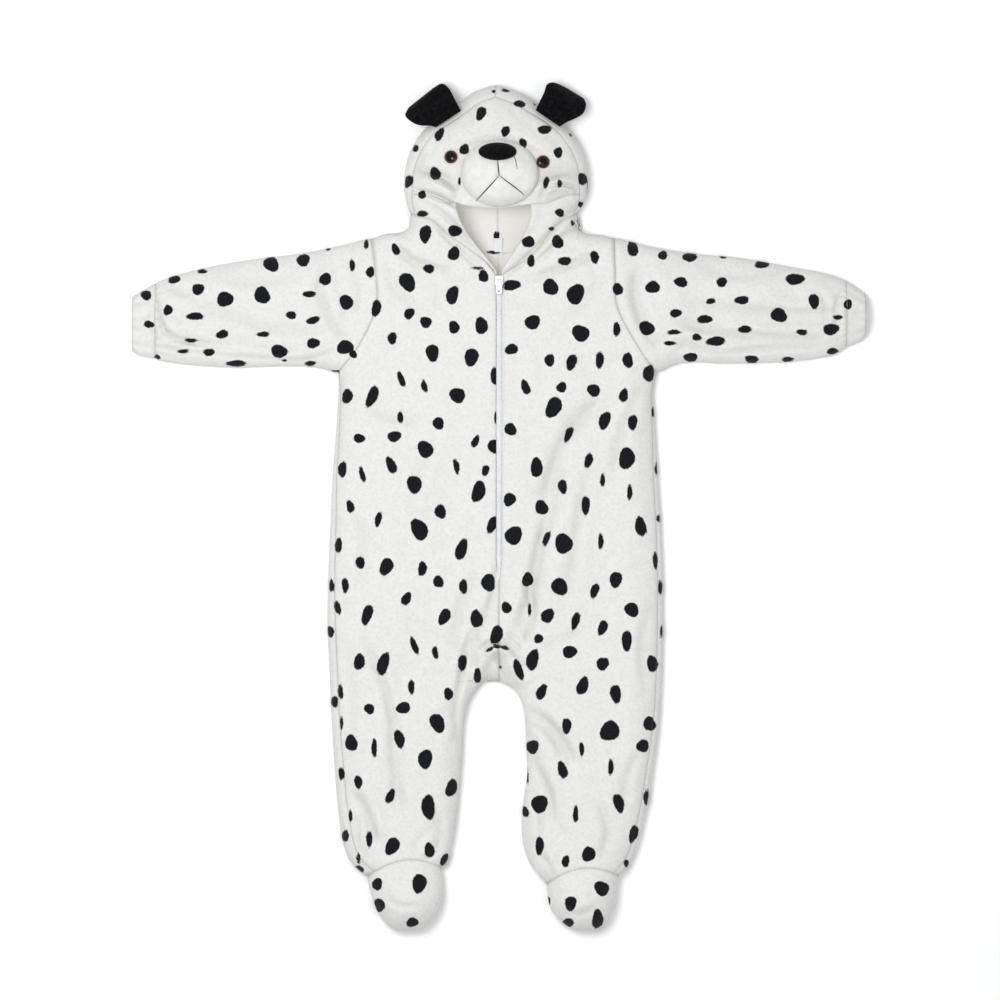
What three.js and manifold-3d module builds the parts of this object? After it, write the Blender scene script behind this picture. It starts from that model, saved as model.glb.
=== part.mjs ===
// A toddler's hooded plush onesie with a dog's face on the hood, laid flat on its back.
// Millimetres. +X is to the right as seen from above, +Y towards the hood, +Z up from the surface it lies on.
import * as THREE from "three";
import { mergeVertices } from "three/addons/utils/BufferGeometryUtils.js";
import Module from "manifold-3d";

// Driving sizes
const CLOTH = 3; // wall of plush with its backing
const SEAM_GAP = 0.3; // between two pieces at a seam
const HALF_GAP = SEAM_GAP / 2;
const EDGE_SHARE = 0.22; // height of the folded side edge, as a share of the loft
const BODY_ROUND = 34; // how far in from the edge the body's top keeps rounding up
const HOOD_ROUND = 60;
const BODY_LOFT = 30; // height of the front over the surface
const HOOD_RISE = 24;
const LEG_RISE = 3;
const FOOT_RISE = 11;
const SLEEVE_DROP = 5;
const CUFF_DROP = 3;
const ZIP_HALF = 2.7; // from the centre line to the folded edge of a front beside the zip
const ZIP_TOP = 232;
const ZIP_END = -50;
const SLEEVE_OVERRUN = 60; // the outline runs on past the open cuffs, so the mouths stay tall

// Outline sections: where the garment's edges are, left and right, at each height
const HOOD_SECTIONS = [
  { y: 423.5, left: -3.5, right: -3.5 },
  { y: 415, left: -26, right: 20 },
  { y: 402, left: -43, right: 41 },
  { y: 391, left: -58, right: 57 },
  { y: 379, left: -74, right: 69 },
  { y: 362, left: -86, right: 81 },
  { y: 343, left: -93, right: 88 },
  { y: 321, left: -95, right: 88.5 },
  { y: 307, left: -93, right: 86 },
  { y: 294, left: -89, right: 79 },
];
const SHOULDER_SECTIONS = [
  { left: [-89, 294], right: [79, 294] },
  { left: [-90, 283], right: [76.5, 283] },
  { left: [-98, 276.5], right: [86, 275.5] },
  { left: [-113, 275], right: [101, 274] },
  { left: [-128, 270], right: [116, 270.5] },
];
const SLEEVE_SECTIONS = [
  { topLeft: [-128, 270], bottomLeft: [-161, 135], topRight: [116, 270.5], bottomRight: [157, 135] },
  { topLeft: [-160, 262], bottomLeft: [-186, 141], topRight: [150, 261.5], bottomRight: [184, 145.5] },
  { topLeft: [-200, 254], bottomLeft: [-222, 141.5], topRight: [196, 254], bottomRight: [220, 144.5] },
  { topLeft: [-246, 248.5], bottomLeft: [-262, 140.5], topRight: [240, 250], bottomRight: [258, 145] },
  { topLeft: [-294, 240], bottomLeft: [-304, 142.5], topRight: [288, 241.5], bottomRight: [298, 147] },
  { topLeft: [-328, 231], bottomLeft: [-332, 146], topRight: [328, 234], bottomRight: [332, 153] },
  { topLeft: [-344, 225], bottomLeft: [-344, 149], topRight: [348, 227], bottomRight: [348, 161] },
];
const CUFF_SECTIONS = [
  { left: -344, topLeft: 225, bottomLeft: 149, right: 348, topRight: 227, bottomRight: 161 },
  { left: -350.5, topLeft: 220.5, bottomLeft: 150.5, right: 353, topRight: 223, bottomRight: 163.5 },
  { left: -359, topLeft: 216, bottomLeft: 152, right: 360.5, topRight: 218, bottomRight: 166.5 },
  { left: -366.5, topLeft: 211.5, bottomLeft: 156, right: 366.5, topRight: 213.5, bottomRight: 171 },
];
const SIDE_SECTIONS = [
  { y: 135, left: -161, right: 157, seamLeft: 0, seamRight: 0 },
  { y: 118, left: -160.5, right: 154.5, seamLeft: 0.6, seamRight: 0.6 },
  { y: 68, left: -163.5, right: 156.5, seamLeft: 2.4, seamRight: 2 },
  { y: 31, left: -166.5, right: 158.5, seamLeft: 3.2, seamRight: 3 },
  { y: -16, left: -168.5, right: 161.5, seamLeft: 4.5, seamRight: 3.5 },
  { y: -64, left: -170.5, right: 163.5, seamLeft: 5.4, seamRight: 4 },
  { y: -112, left: -171.5, right: 163.5, seamLeft: 7, seamRight: 4 },
  { y: -160, left: -169.5, right: 163, seamLeft: 7, seamRight: 4.5 },
  { y: -208, left: -167.5, right: 160.5, seamLeft: 7, seamRight: 4.5 },
  { y: -256, left: -164.5, right: 154.5, seamLeft: 8, seamRight: 5 },
  { y: -304, left: -160.5, right: 146.5, seamLeft: 9, seamRight: 5 },
  { y: -340, left: -154.5, right: 137.5, seamLeft: 10, seamRight: 5 },
  { y: -355, left: -147, right: 130.5, seamLeft: 9, seamRight: 5 },
  { y: -368.5, left: -131.5, right: 120.5, seamLeft: 6, seamRight: 5 },
];
const INSEAM_SECTIONS = [
  { left: [-1, -173], right: [-1, -173] },
  { left: [-12, -171.5], right: [11, -179] },
  { left: [-22, -181], right: [17.5, -186] },
  { left: [-29.5, -194], right: [22.5, -197.5] },
  { left: [-34, -214], right: [25, -214] },
  { left: [-35.5, -240], right: [26, -240] },
  { left: [-38, -272], right: [27, -266] },
  { left: [-41, -304], right: [22, -302] },
  { left: [-45.5, -333], right: [22.5, -332] },
  { left: [-50.5, -352], right: [30, -356] },
  { left: [-56.5, -360], right: [47.5, -376] },
];
const FOOT_SECTIONS = [
  { y: -377, leftOuter: -131, leftInner: -54.5, rightInner: 47, rightOuter: 118.5 },
  { y: -390, leftOuter: -127, leftInner: -55.5, rightInner: 48, rightOuter: 117 },
  { y: -402, leftOuter: -122.5, leftInner: -59, rightInner: 51.5, rightOuter: 114 },
  { y: -413, leftOuter: -114.5, leftInner: -66, rightInner: 62, rightOuter: 108 },
  { y: -421, leftOuter: -105, leftInner: -77, rightInner: 73.5, rightOuter: 96.5 },
];
const TOES = { left: [-91, -422.3], right: [84, -422.3] };
const ARMHOLE_SECTIONS = [
  { left: [-128, 270], right: [116, 270.5] },
  { left: [-123.5, 236], right: [116.5, 236] },
  { left: [-122.5, 203], right: [118, 203] },
  { left: [-139, 164], right: [136, 166] },
  { left: [-161, 135], right: [157, 135] },
];
const NECKLINE_SECTIONS = [
  { left: [-89, 294], right: [79, 294] },
  { left: [-84.5, 293], right: [74.5, 291.5] },
  { left: [-71, 289], right: [57, 281] },
  { left: [-49, 271], right: [40, 261] },
  { left: [-32, 259.5], right: [28, 249] },
  { left: [-16, 248], right: [14, 240] },
  { left: [0, ZIP_TOP], right: [0, ZIP_TOP] },
];
const HOOD_EDGE_SECTIONS = [
  { left: [-43.5, 304.5], right: [31.5, 302.5] },
  { left: [-39, 286], right: [31, 289] },
  { left: [-29, 269], right: [25, 272] },
  { left: [-14.5, 251.5], right: [15, 256] },
  { left: [0, 236], right: [0, 236] },
];
const HEM_MIDDLE = [
  { x: -34, y: 301.5 },
  { x: -20, y: 299.5 },
  { x: -6, y: 298.5 },
  { x: 8, y: 299 },
  { x: 20, y: 301 },
];
const HOOD_SEAM_INSET = [
  { along: 0, inset: 4 },
  { along: 0.25, inset: 8 },
  { along: 0.6, inset: 10 },
  { along: 1, inset: 12 },
];
const BACK_NECK_Y = 255; // where the seam between the hood and the back crosses the centre

// The main folds. A minus height is a trough, a plus height a ridge.
const FOLDS = [
  { name: "right front diagonal", from: [104, 112], to: [52, 20], width: 13, height: -4.5 },
  { name: "right front long", from: [52, 20], to: [26, -128], width: 11, height: -4 },
  { name: "right front beside it", from: [74, 60], to: [58, -70], width: 12, height: 3 },
  { name: "left chest", from: [-98, 158], to: [-40, 214], width: 12, height: -3 },
  { name: "left waist", from: [-132, 20], to: [-58, -22], width: 14, height: -2.6 },
  { name: "left leg", from: [-97, -168], to: [-101, -292], width: 12, height: -4 },
  { name: "left ankle", from: [-150, -280], to: [-126, -334], width: 10, height: -4 },
  { name: "right leg upper", from: [30, -190], to: [74, -256], width: 11, height: -4 },
  { name: "right leg lower", from: [34, -252], to: [54, -322], width: 11, height: -4 },
  { name: "left cheek", from: [-84, 341], to: [-44, 326], width: 8, height: -6 },
  { name: "right cheek", from: [42, 319], to: [86, 329], width: 9, height: 6 },
  { name: "left armhole", from: [-165, 256], to: [-152, 206], width: 10, height: -3.5 },
  { name: "right armhole", from: [130, 262], to: [138, 204], width: 10, height: -3.5 },
  { name: "left sleeve over the cuff", from: [-339, 214], to: [-320, 164], width: 8, height: 3 },
  { name: "left sleeve underside", from: [-318, 164], to: [-210, 158], width: 9, height: -3 },
  { name: "right sleeve long", from: [330, 190], to: [200, 186], width: 9, height: -3.5 },
  { name: "right sleeve low", from: [318, 168], to: [188, 162], width: 8, height: -3.5 },
  { name: "crotch roll left", from: [-20, -164], to: [-2, -139], width: 6, height: 4 },
  { name: "crotch roll right", from: [-2, -139], to: [20, -172], width: 6, height: 4 },
  { name: "crotch ray left", from: [-26, -158], to: [-84, -118], width: 9, height: -3 },
  { name: "crotch ray right", from: [26, -162], to: [78, -128], width: 9, height: -3 },
  { name: "left hood edge", from: [-40, 292], to: [-8, 246], width: 7, height: 3 },
  { name: "right hood edge", from: [33, 292], to: [8, 246], width: 7, height: 3 },
];

// Colours, as seen in soft daylight
const finish = (color, roughness) => new THREE.MeshStandardMaterial({ color, roughness, metalness: 0 });
const PLUSH = finish(0xe8e7e3, 0.95);
const SMOOTH_PLUSH = finish(0xf0efeb, 0.9);
const BLACK_PLUSH = finish(0x15161a, 0.95);
const BLACK_GLOSS = finish(0x0a0a0c, 0.15);
const WHITE_TAPE = finish(0xeceef2, 0.7);
const WHITE_PLASTIC = finish(0xf6f6f6, 0.35);

const lerp = (a, b, t) => a + (b - a) * t;
const mix = (p, q, t) => p.map((value, k) => lerp(value, q[k], t));
const plus = (p, q, scale = 1) => p.map((value, k) => value + q[k] * scale);
const unit = (p) => {
  const length = Math.hypot(...p);
  return p.map((value) => value / length);
};
const steps = (count) => Array.from({ length: count + 1 }, (_, k) => k / count);
const ramp = (value, from, to) => THREE.MathUtils.smoothstep(value, Math.min(from, to), Math.max(from, to));
const rising = (value, from, to) => (from < to ? ramp(value, from, to) : 1 - ramp(value, from, to));

// A smooth plan curve through a few sections; each section sits at an equal step of the parameter.
function smooth(points) {
  const curve = new THREE.CatmullRomCurve3(
    points.map(([x, y]) => new THREE.Vector3(x, y, 0)),
    false,
    "centripetal",
  );
  return (t) => {
    const point = curve.getPoint(t);
    return [point.x, point.y];
  };
}

// A number read from a table, rising or falling along one column.
function readTable(table, key, column, at) {
  const sign = Math.sign(table.at(-1)[key] - table[0][key]);
  const next = table.findIndex((row) => sign * (row[key] - at) >= 0);
  if (next === 0) return table[0][column];
  if (next < 0) return table.at(-1)[column];
  const low = table[next - 1];
  const high = table[next];
  return lerp(low[column], high[column], (at - low[key]) / (high[key] - low[key]));
}

// A height on a curve that falls all the way, found by halving.
function atHeight(curve, y) {
  let low = 0;
  let high = 1;
  for (let turn = 0; turn < 30; turn += 1) {
    const middle = (low + high) / 2;
    if (curve(middle)[1] > y) low = middle;
    else high = middle;
  }
  return curve((low + high) / 2);
}

const SIDES = ["left", "right"];
const pick = (table, column) => table.map((row) => row[column]);
const byHeight = (table, column) => table.map((row) => [row[column], row.y]);
const named = (side, word) => word + side[0].toUpperCase() + side.slice(1);
const bothSides = (make) => Object.fromEntries(SIDES.map((side) => [side, make(side)]));

const hoodSide = bothSides((side) => smooth(byHeight(HOOD_SECTIONS, side)));
const shoulder = bothSides((side) => smooth(pick(SHOULDER_SECTIONS, side)));
const sleeveTop = bothSides((side) => smooth(pick(SLEEVE_SECTIONS, named(side, "top"))));
const sleeveBottom = bothSides((side) => smooth(pick(SLEEVE_SECTIONS, named(side, "bottom"))));
const cuffEdge = (side, edge) =>
  smooth(CUFF_SECTIONS.map((row) => [row[side], row[named(side, edge)]]));
const cuffTop = bothSides((side) => cuffEdge(side, "top"));
const cuffBottom = bothSides((side) => cuffEdge(side, "bottom"));
const sideEdge = bothSides((side) => smooth(byHeight(SIDE_SECTIONS, side)));
const inseam = bothSides((side) => smooth(pick(INSEAM_SECTIONS, side)));
const armhole = bothSides((side) => smooth(pick(ARMHOLE_SECTIONS, side)));
const hoodEdge = bothSides((side) => smooth(pick(HOOD_EDGE_SECTIONS, side)));

// The foot's outline from the outer ankle round the toes to the inner ankle.
const footEdge = bothSides((side) =>
  smooth([
    sideEdge[side](1),
    ...byHeight(FOOT_SECTIONS, side + "Outer"),
    TOES[side],
    ...byHeight(FOOT_SECTIONS, side + "Inner").reverse(),
    inseam[side](1),
  ]),
);

// Half the outline, from the crown down one side to the crotch.
function halfOutline(side) {
  const away = side === "left" ? -SLEEVE_OVERRUN : SLEEVE_OVERRUN;
  const topMouth = cuffTop[side](1);
  const bottomMouth = cuffBottom[side](1);
  const walk = (curve, count) => steps(count).map((t) => curve(t));
  return [
    ...walk(hoodSide[side], 36),
    ...walk(shoulder[side], 16),
    ...walk(sleeveTop[side], 20),
    ...walk(cuffTop[side], 6),
    [topMouth[0] + away, topMouth[1]],
    [bottomMouth[0] + away, bottomMouth[1]],
    ...walk(cuffBottom[side], 6).reverse(),
    ...walk(sleeveBottom[side], 20).reverse(),
    ...walk(sideEdge[side], 60),
    ...walk(footEdge[side], 40),
    ...walk(inseam[side], 44).reverse(),
  ];
}

const apart = (p, q) => Math.hypot(p[0] - q[0], p[1] - q[1]) > 0.02;
const OUTLINE = [...halfOutline("left"), ...halfOutline("right").reverse()].filter(
  (point, k, all) => apart(point, all[(k + 1) % all.length]),
);
const OUTLINE_EDGES = OUTLINE.map((from, k) => {
  const to = OUTLINE[(k + 1) % OUTLINE.length];
  const length = Math.hypot(to[0] - from[0], to[1] - from[1]);
  return { from, along: [(to[0] - from[0]) / length, (to[1] - from[1]) / length], length };
});

// How far a plan point lies from the outline, and the direction straight in from there.
function nearestEdge(x, y) {
  let best = Infinity;
  let inward = [0, 0];
  for (const edge of OUTLINE_EDGES) {
    const dx = x - edge.from[0];
    const dy = y - edge.from[1];
    const reach = THREE.MathUtils.clamp(dx * edge.along[0] + dy * edge.along[1], 0, edge.length);
    const offX = dx - reach * edge.along[0];
    const offY = dy - reach * edge.along[1];
    const distance = Math.hypot(offX, offY);
    if (distance >= best) continue;
    best = distance;
    inward = distance > 0.05 ? [offX / distance, offY / distance] : [-edge.along[1], edge.along[0]];
  }
  return { distance: best, inward };
}

// Height of the top layer over the surface, before it rounds down to the side edges.
function loftAt(x, y) {
  const arm = rising(y, 100, 130);
  return (
    BODY_LOFT +
    HOOD_RISE * rising(y, 240, 325) +
    LEG_RISE * rising(y, -170, -230) +
    FOOT_RISE * rising(y, -345, -395) -
    SLEEVE_DROP * arm * rising(Math.abs(x), 150, 250) -
    CUFF_DROP * arm * rising(Math.abs(x), 325, 362)
  );
}

// The sum of the folds at a plan point: each is a soft bell across its line and fades at its ends.
function foldsAt(x, y) {
  return FOLDS.reduce((sum, { from, to, width, height }) => {
    const run = [to[0] - from[0], to[1] - from[1]];
    const length = Math.hypot(...run);
    const along = ((x - from[0]) * run[0] + (y - from[1]) * run[1]) / length;
    const across = ((x - from[0]) * run[1] - (y - from[1]) * run[0]) / length;
    const past = Math.max(0, -along, along - length);
    return sum + height * Math.exp(-((across / width) ** 2) - (past / (1.4 * width)) ** 2);
  }, 0);
}

// A point of the garment's outside and the direction out of it.
// Both layers meet at the outline: the top rounds up from there as a quarter of an ellipse,
// and the underside rounds down to lie flat.
function skin([x, y], onTop) {
  const { distance, inward } = nearestEdge(x, y);
  const loft = loftAt(x, y);
  const edgeHeight = loft * EDGE_SHARE;
  const round = onTop ? lerp(BODY_ROUND, HOOD_ROUND, rising(y, 270, 330)) : edgeHeight;
  const cosine = 1 - Math.min(distance / round, 1);
  const sine = Math.sqrt(1 - cosine * cosine);
  if (!onTop) {
    const normal = unit([-inward[0] * cosine, -inward[1] * cosine, -sine]);
    return { point: [x, y, edgeHeight * (1 - sine)], normal };
  }
  const relief = (px, py) => foldsAt(px, py) + loftAt(px, py);
  const slopeX = (relief(x + 1, y) - relief(x - 1, y)) / 2;
  const slopeY = (relief(x, y + 1) - relief(x, y - 1)) / 2;
  const rise = loft - edgeHeight;
  const normal = unit([
    -inward[0] * rise * cosine - slopeX * round * sine,
    -inward[1] * rise * cosine - slopeY * round * sine,
    round * sine,
  ]);
  return { point: [x, y, edgeHeight + (rise + foldsAt(x, y)) * sine], normal };
}

const topSkin = (point) => skin(point, true);
const underSkin = (point) => skin(point, false);

// A closed solid between an outside grid and an inside grid of the same rows and columns.
// A ring's columns close on themselves, so only its ends have rims.
function between(outside, inside, ring = false) {
  const rows = outside.length;
  const columns = outside[0].length;
  const places = [...outside.flat(), ...inside.flat()];
  const positions = places.flat();
  const under = rows * columns;
  const index = [];
  const quad = (a, b, c, d) => index.push(a, b, c, a, c, d);
  const at = (row, column) => row * columns + (column % columns);
  const lastColumn = ring ? columns : columns - 1;
  for (let row = 0; row < rows - 1; row += 1)
    for (let column = 0; column < lastColumn; column += 1) {
      const corners = [at(row, column), at(row + 1, column), at(row + 1, column + 1), at(row, column + 1)];
      quad(...corners);
      quad(...corners.reverse().map((corner) => corner + under));
    }
  // A rim's faces are split along the shorter diagonal, so that two rims at one seam agree.
  const span = (a, b) => Math.hypot(...plus(places[a], places[b], -1));
  const rim = (a, b) =>
    span(a, b + under) < span(b, a + under)
      ? quad(a, b, b + under, a + under)
      : quad(b, b + under, a + under, a);
  for (let column = 0; column < lastColumn; column += 1) {
    rim(at(0, column), at(0, column + 1));
    rim(at(rows - 1, column + 1), at(rows - 1, column));
  }
  if (!ring)
    for (let row = 0; row < rows - 1; row += 1) {
      rim(at(row + 1, 0), at(row, 0));
      rim(at(row, columns - 1), at(row + 1, columns - 1));
    }
  return facingOut(positions, index);
}

// A geometry whose faces point out, whichever way its grid ran.
function facingOut(positions, index) {
  const corner = (k) => new THREE.Vector3().fromArray(positions, index[k] * 3);
  let volume = 0;
  for (let k = 0; k < index.length; k += 3) {
    volume += corner(k).dot(corner(k + 1).cross(corner(k + 2)));
  }
  const geometry = new THREE.BufferGeometry();
  geometry.setAttribute("position", new THREE.Float32BufferAttribute(positions, 3));
  geometry.setIndex(volume < 0 ? index.reverse() : index);
  geometry.computeVertexNormals();
  return geometry;
}

// Draws a grid's border in by half a seam gap, so that neighbours cut on one line stand a gap apart.
function drawIn(outside, inside, ring) {
  const moves = outside.map((row) => row.map(() => [0, 0, 0]));
  const pull = (row, column, towardRow, towardColumn) => {
    const way = unit(plus(outside[towardRow][towardColumn], outside[row][column], -1));
    moves[row][column] = plus(moves[row][column], way, HALF_GAP);
  };
  const lastRow = outside.length - 1;
  const lastColumn = outside[0].length - 1;
  outside[0].forEach((_, column) => {
    pull(0, column, 1, column);
    pull(lastRow, column, lastRow - 1, column);
  });
  if (!ring)
    outside.forEach((_, row) => {
      pull(row, 0, row, 1);
      pull(row, lastColumn, row, lastColumn - 1);
    });
  const shift = (grid) => grid.map((row, r) => row.map((point, c) => plus(point, moves[r][c])));
  return [shift(outside), shift(inside)];
}

// A cloth wall: the skin's points outside, and the same points moved in by the cloth's thickness.
function cloth(grid, ring = false) {
  const outside = grid.map((row) => row.map(({ point }) => point));
  const inside = grid.map((row) => row.map(({ point, normal }) => plus(point, normal, -CLOTH)));
  return drawIn(outside, inside, ring);
}

// Plan points that fill a four-sided patch from its four borders.
function fillPatch(top, bottom, left, right) {
  const lastRow = left.length - 1;
  const lastColumn = top.length - 1;
  return left.map((_, row) => {
    const v = row / lastRow;
    return top.map((_, column) => {
      const u = column / lastColumn;
      return [0, 1].map(
        (k) =>
          lerp(top[column][k], bottom[column][k], v) +
          lerp(left[row][k], right[row][k], u) -
          lerp(lerp(top[0][k], top.at(-1)[k], u), lerp(bottom[0][k], bottom.at(-1)[k], u), v),
      );
    });
  });
}

const garment = new THREE.Group();
garment.name = "dog_onesie";

function addPiece(name, geometry, material) {
  const mesh = new THREE.Mesh(geometry, material);
  mesh.name = name;
  garment.add(mesh);
  return mesh;
}

// Shares of a row where its points stand, closer together at the edges that round over
const FRONT_ACROSS = [0, 0.03, 0.09, 0.18, 0.29, 0.32, 0.41, 0.52, 0.63, 0.74, 0.85, 0.95, 1];
const BACK_ACROSS = [0, 0.02, 0.045, 0.09, 0.14, 0.17, 0.24, 0.36, 0.52, 0.7, 0.86, 1];
const NECK_COLUMN = 4; // the column that starts at the corner of the neck
const ARM_DOWN = [0, 0.035, 0.1, 0.2, 0.32, 0.46, 0.6, 0.74, 0.86, 0.95, 1];
const BODY_ROWS = 9;
const LEG_ROWS = 10;
const CHEST_Y = 137;
const CROTCH_Y = -173;
const ANKLE_Y = -368.5;
const ANKLE_BOW = 13; // how far the ankle seam arches up the leg
const HOOD_ROWS = 15;
const HEM_ROW = 2; // the hood row where the face panel's hem meets the hood seam
const FACE_CORNER_ROW = 8;
const HOOD_SEAM_STEPS = steps(HOOD_ROWS).map((k) =>
  k <= 2 / HOOD_ROWS + 0.001 ? k * HOOD_ROWS * 0.09 : 0.18 + ((k * HOOD_ROWS - 2) / 13) * 0.82,
);
const CROWN_CENTRE_Y = 395;

const toward = (from, to) => unit(plus(to, from, -1));
const backCentre = (along) => [lerp(0, -3.5, along), lerp(BACK_NECK_Y, CROWN_CENTRE_Y, along)];

// The back neck seam, from the neck's corner in to the centre.
function backNeck(side, across) {
  const [x, y] = shoulder[side](0);
  return [x * (1 - across), BACK_NECK_Y + (y - BACK_NECK_Y) * (1 - across) ** 2.2];
}

// The seam over the hood, between its side and its face panel.
function hoodSeam(side, along) {
  const edge = hoodSide[side](1 - along);
  return plus(edge, toward(edge, backCentre(along)), readTable(HOOD_SEAM_INSET, "along", "inset", along));
}

const neckline = bothSides((side) =>
  smooth([shoulder[side](0), hoodSeam(side, 0), ...pick(NECKLINE_SECTIONS, side).slice(2)]),
);
const zipOpening = (y) => ZIP_HALF * rising(y, ZIP_END - 26, ZIP_END);

// The body's rows from the shoulder to the ankle. Each gives its outer end, its inner end,
// how far the side seam stands in on the top, and how far the row arches.
function bodyRows(side) {
  const arms = ARM_DOWN.map((down) => ({
    outer: armhole[side](down),
    inner: [0, lerp(ZIP_TOP, CHEST_Y, down)],
    seam: 0,
    lift: 1 - down,
    bow: 0,
  }));
  const atSide = (y, inner, bow) => ({
    outer: atHeight(sideEdge[side], y),
    inner,
    seam: readTable(SIDE_SECTIONS, "y", named(side, "seam"), y),
    lift: 0,
    bow,
  });
  const body = steps(BODY_ROWS)
    .slice(1)
    .map((k) => lerp(CHEST_Y, CROTCH_Y, k))
    .map((y) => atSide(y, [0, y], 0));
  const legs = steps(LEG_ROWS)
    .slice(1)
    .map((k) => {
      const inner = inseam[side](k);
      const y = lerp(inner[1], lerp(CROTCH_Y, ANKLE_Y, k), 0.5 + 0.5 * k);
      return atSide(y, inner, ANKLE_BOW * k ** 4);
    });
  return [...arms, ...body, ...legs];
}

const rowPoint = (row, share) => {
  const [x, y] = mix(row.outer, row.inner, share);
  return [x, y + row.bow * 4 * share * (1 - share)];
};
const rowWidth = (row) => Math.hypot(row.outer[0] - row.inner[0], row.outer[1] - row.inner[1]);

// A row of the armhole stretch is bent to follow the shoulder and the neck.
function bendToNeck(rows, row, share, neckPoint) {
  const straight = rowPoint(rows[0], share);
  return plus(rowPoint(row, share), plus(neckPoint, straight, -1), row.lift ** 1.5);
}

// The top border: the shoulder out to the neck's corner, then the seam that the hood is sewn to.
const shoulderPoint = (side, column) => shoulder[side](1 - column / NECK_COLUMN);
function frontTop(side, column) {
  if (column <= NECK_COLUMN) return shoulderPoint(side, column);
  const past = (column - NECK_COLUMN - 1) / (FRONT_ACROSS.length - NECK_COLUMN - 2);
  return neckline[side](1 / 6 + (5 / 6) * past);
}
const neckShares = BACK_ACROSS.slice(NECK_COLUMN).map(
  (share) => (share - BACK_ACROSS[NECK_COLUMN]) / (1 - BACK_ACROSS[NECK_COLUMN]),
);
const backTop = (side, column) =>
  column <= NECK_COLUMN ? shoulderPoint(side, column) : backNeck(side, neckShares[column - NECK_COLUMN]);

// A front: from the side seam to the zip, and below the crotch to the inseam.
function frontRows(side) {
  const rows = bodyRows(side);
  const outward = side === "left" ? -1 : 1;
  return rows.map((row) => {
    const start = row.seam / rowWidth(row);
    return FRONT_ACROSS.map((share, column) => {
      const point = bendToNeck(rows, row, lerp(start, 1, share), frontTop(side, column));
      const opening = Math.abs(point[0]) < 20 ? outward * zipOpening(point[1]) * share ** 12 : 0;
      return [point[0] + opening, point[1]];
    });
  });
}

// Shares of a back's row: below the arm its first columns are the strip on top, up to the outline.
const EDGE_COLUMN = 2;
function backShares(row) {
  if (row.seam === 0) return BACK_ACROSS;
  const strip = row.seam / rowWidth(row);
  const first = BACK_ACROSS[EDGE_COLUMN];
  return BACK_ACROSS.map((place, column) =>
    column < EDGE_COLUMN ? strip * (column / EDGE_COLUMN - 1) : (place - first) / (1 - first),
  );
}

// A back: its side strip on top, round the edge, and along the surface to the centre seam.
function backRows(side) {
  const rows = bodyRows(side);
  return rows.map((row) => {
    return backShares(row).map((share, column) => {
      const point = bendToNeck(rows, row, Math.abs(share), backTop(side, column));
      return skin(point, share < 0);
    });
  });
}

const frontGrids = {};
for (const side of SIDES) {
  const front = cloth(frontRows(side).map((row) => row.map(topSkin)));
  frontGrids[side] = front;
  addPiece("front_" + side, between(...front), PLUSH);
  addPiece("back_" + side, between(...cloth(backRows(side))), PLUSH);
}

// Sleeves: rings from the armhole to the cuff seam
const SLEEVE_OUT = [0, 0.07, 0.17, 0.28, 0.4, 0.52, 0.64, 0.76, 0.87, 0.95, 1];
const CUFF_OUT = [0, 0.25, 0.65, 1];
const CUFF_HALF_POINTS = 24;
const CUFF_WAVES = 12;
const CUFF_WAVE_HEIGHT = { left: 1.1, right: 0.7 };

// An end of a tube cut square, so that its rim lies in one plane.
const square = ({ point, normal }) => ({ point, normal: unit([0, normal[1], normal[2]]) });

// A ring: down the top layer by these shares, and back up the underside.
const ringOf = (shares, plan) => [
  ...shares.map((share) => skin(plan(share), true)),
  ...shares.slice(1, -1).reverse().map((share) => skin(plan(share), false)),
];

function sleeveRings(side) {
  const bulge = (share) =>
    plus(armhole[side](share), mix(armhole[side](0), armhole[side](1), share), -1);
  return SLEEVE_OUT.map((out) => {
    const ring = ringOf(ARM_DOWN, (share) =>
      plus(mix(sleeveTop[side](out), sleeveBottom[side](out), share), bulge(share), (1 - out) ** 2),
    );
    return out === 1 ? ring.map(square) : ring;
  });
}

// A cuff's rings, with the gathers as waves round it that die down at the seam.
function cuffRings(side) {
  const shares = steps(CUFF_HALF_POINTS).map((t) => (1 - Math.cos(Math.PI * t)) / 2);
  return CUFF_OUT.map((out) =>
    ringOf(shares, (share) => mix(cuffTop[side](out), cuffBottom[side](out), share)).map(
      ({ point, normal }, k) => {
        const wave = Math.cos((Math.PI * CUFF_WAVES * k) / CUFF_HALF_POINTS);
        const height = CUFF_WAVE_HEIGHT[side] * (wave - 1) * Math.min(1, out * 4);
        const waved = { point: plus(point, normal, height / 2), normal };
        return out === 0 ? square(waved) : waved;
      },
    ),
  );
}

for (const side of SIDES) {
  addPiece("sleeve_" + side, between(...cloth(sleeveRings(side), true), true), PLUSH);
  addPiece("cuff_" + side, between(...cloth(cuffRings(side), true), true), PLUSH);
}

// Feet: an upper over a sole, filled in between the ankle seam and the foot's outline
const FOOT_DOWN = [0, 0.15, 0.35, 0.55, 0.75, 0.88, 0.96, 1];
const TOE_SHARE = 0.36; // share of the foot's outline before the toe arc starts

function footPatch(side, ankle) {
  const toe = ankle.map((_, k) => footEdge[side](lerp(TOE_SHARE, 1 - TOE_SHARE, k / (ankle.length - 1))));
  const outer = FOOT_DOWN.map((down) => footEdge[side](TOE_SHARE * down));
  const inner = FOOT_DOWN.map((down) => footEdge[side](1 - TOE_SHARE * down));
  return fillPatch(ankle, toe, outer, inner);
}

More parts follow.
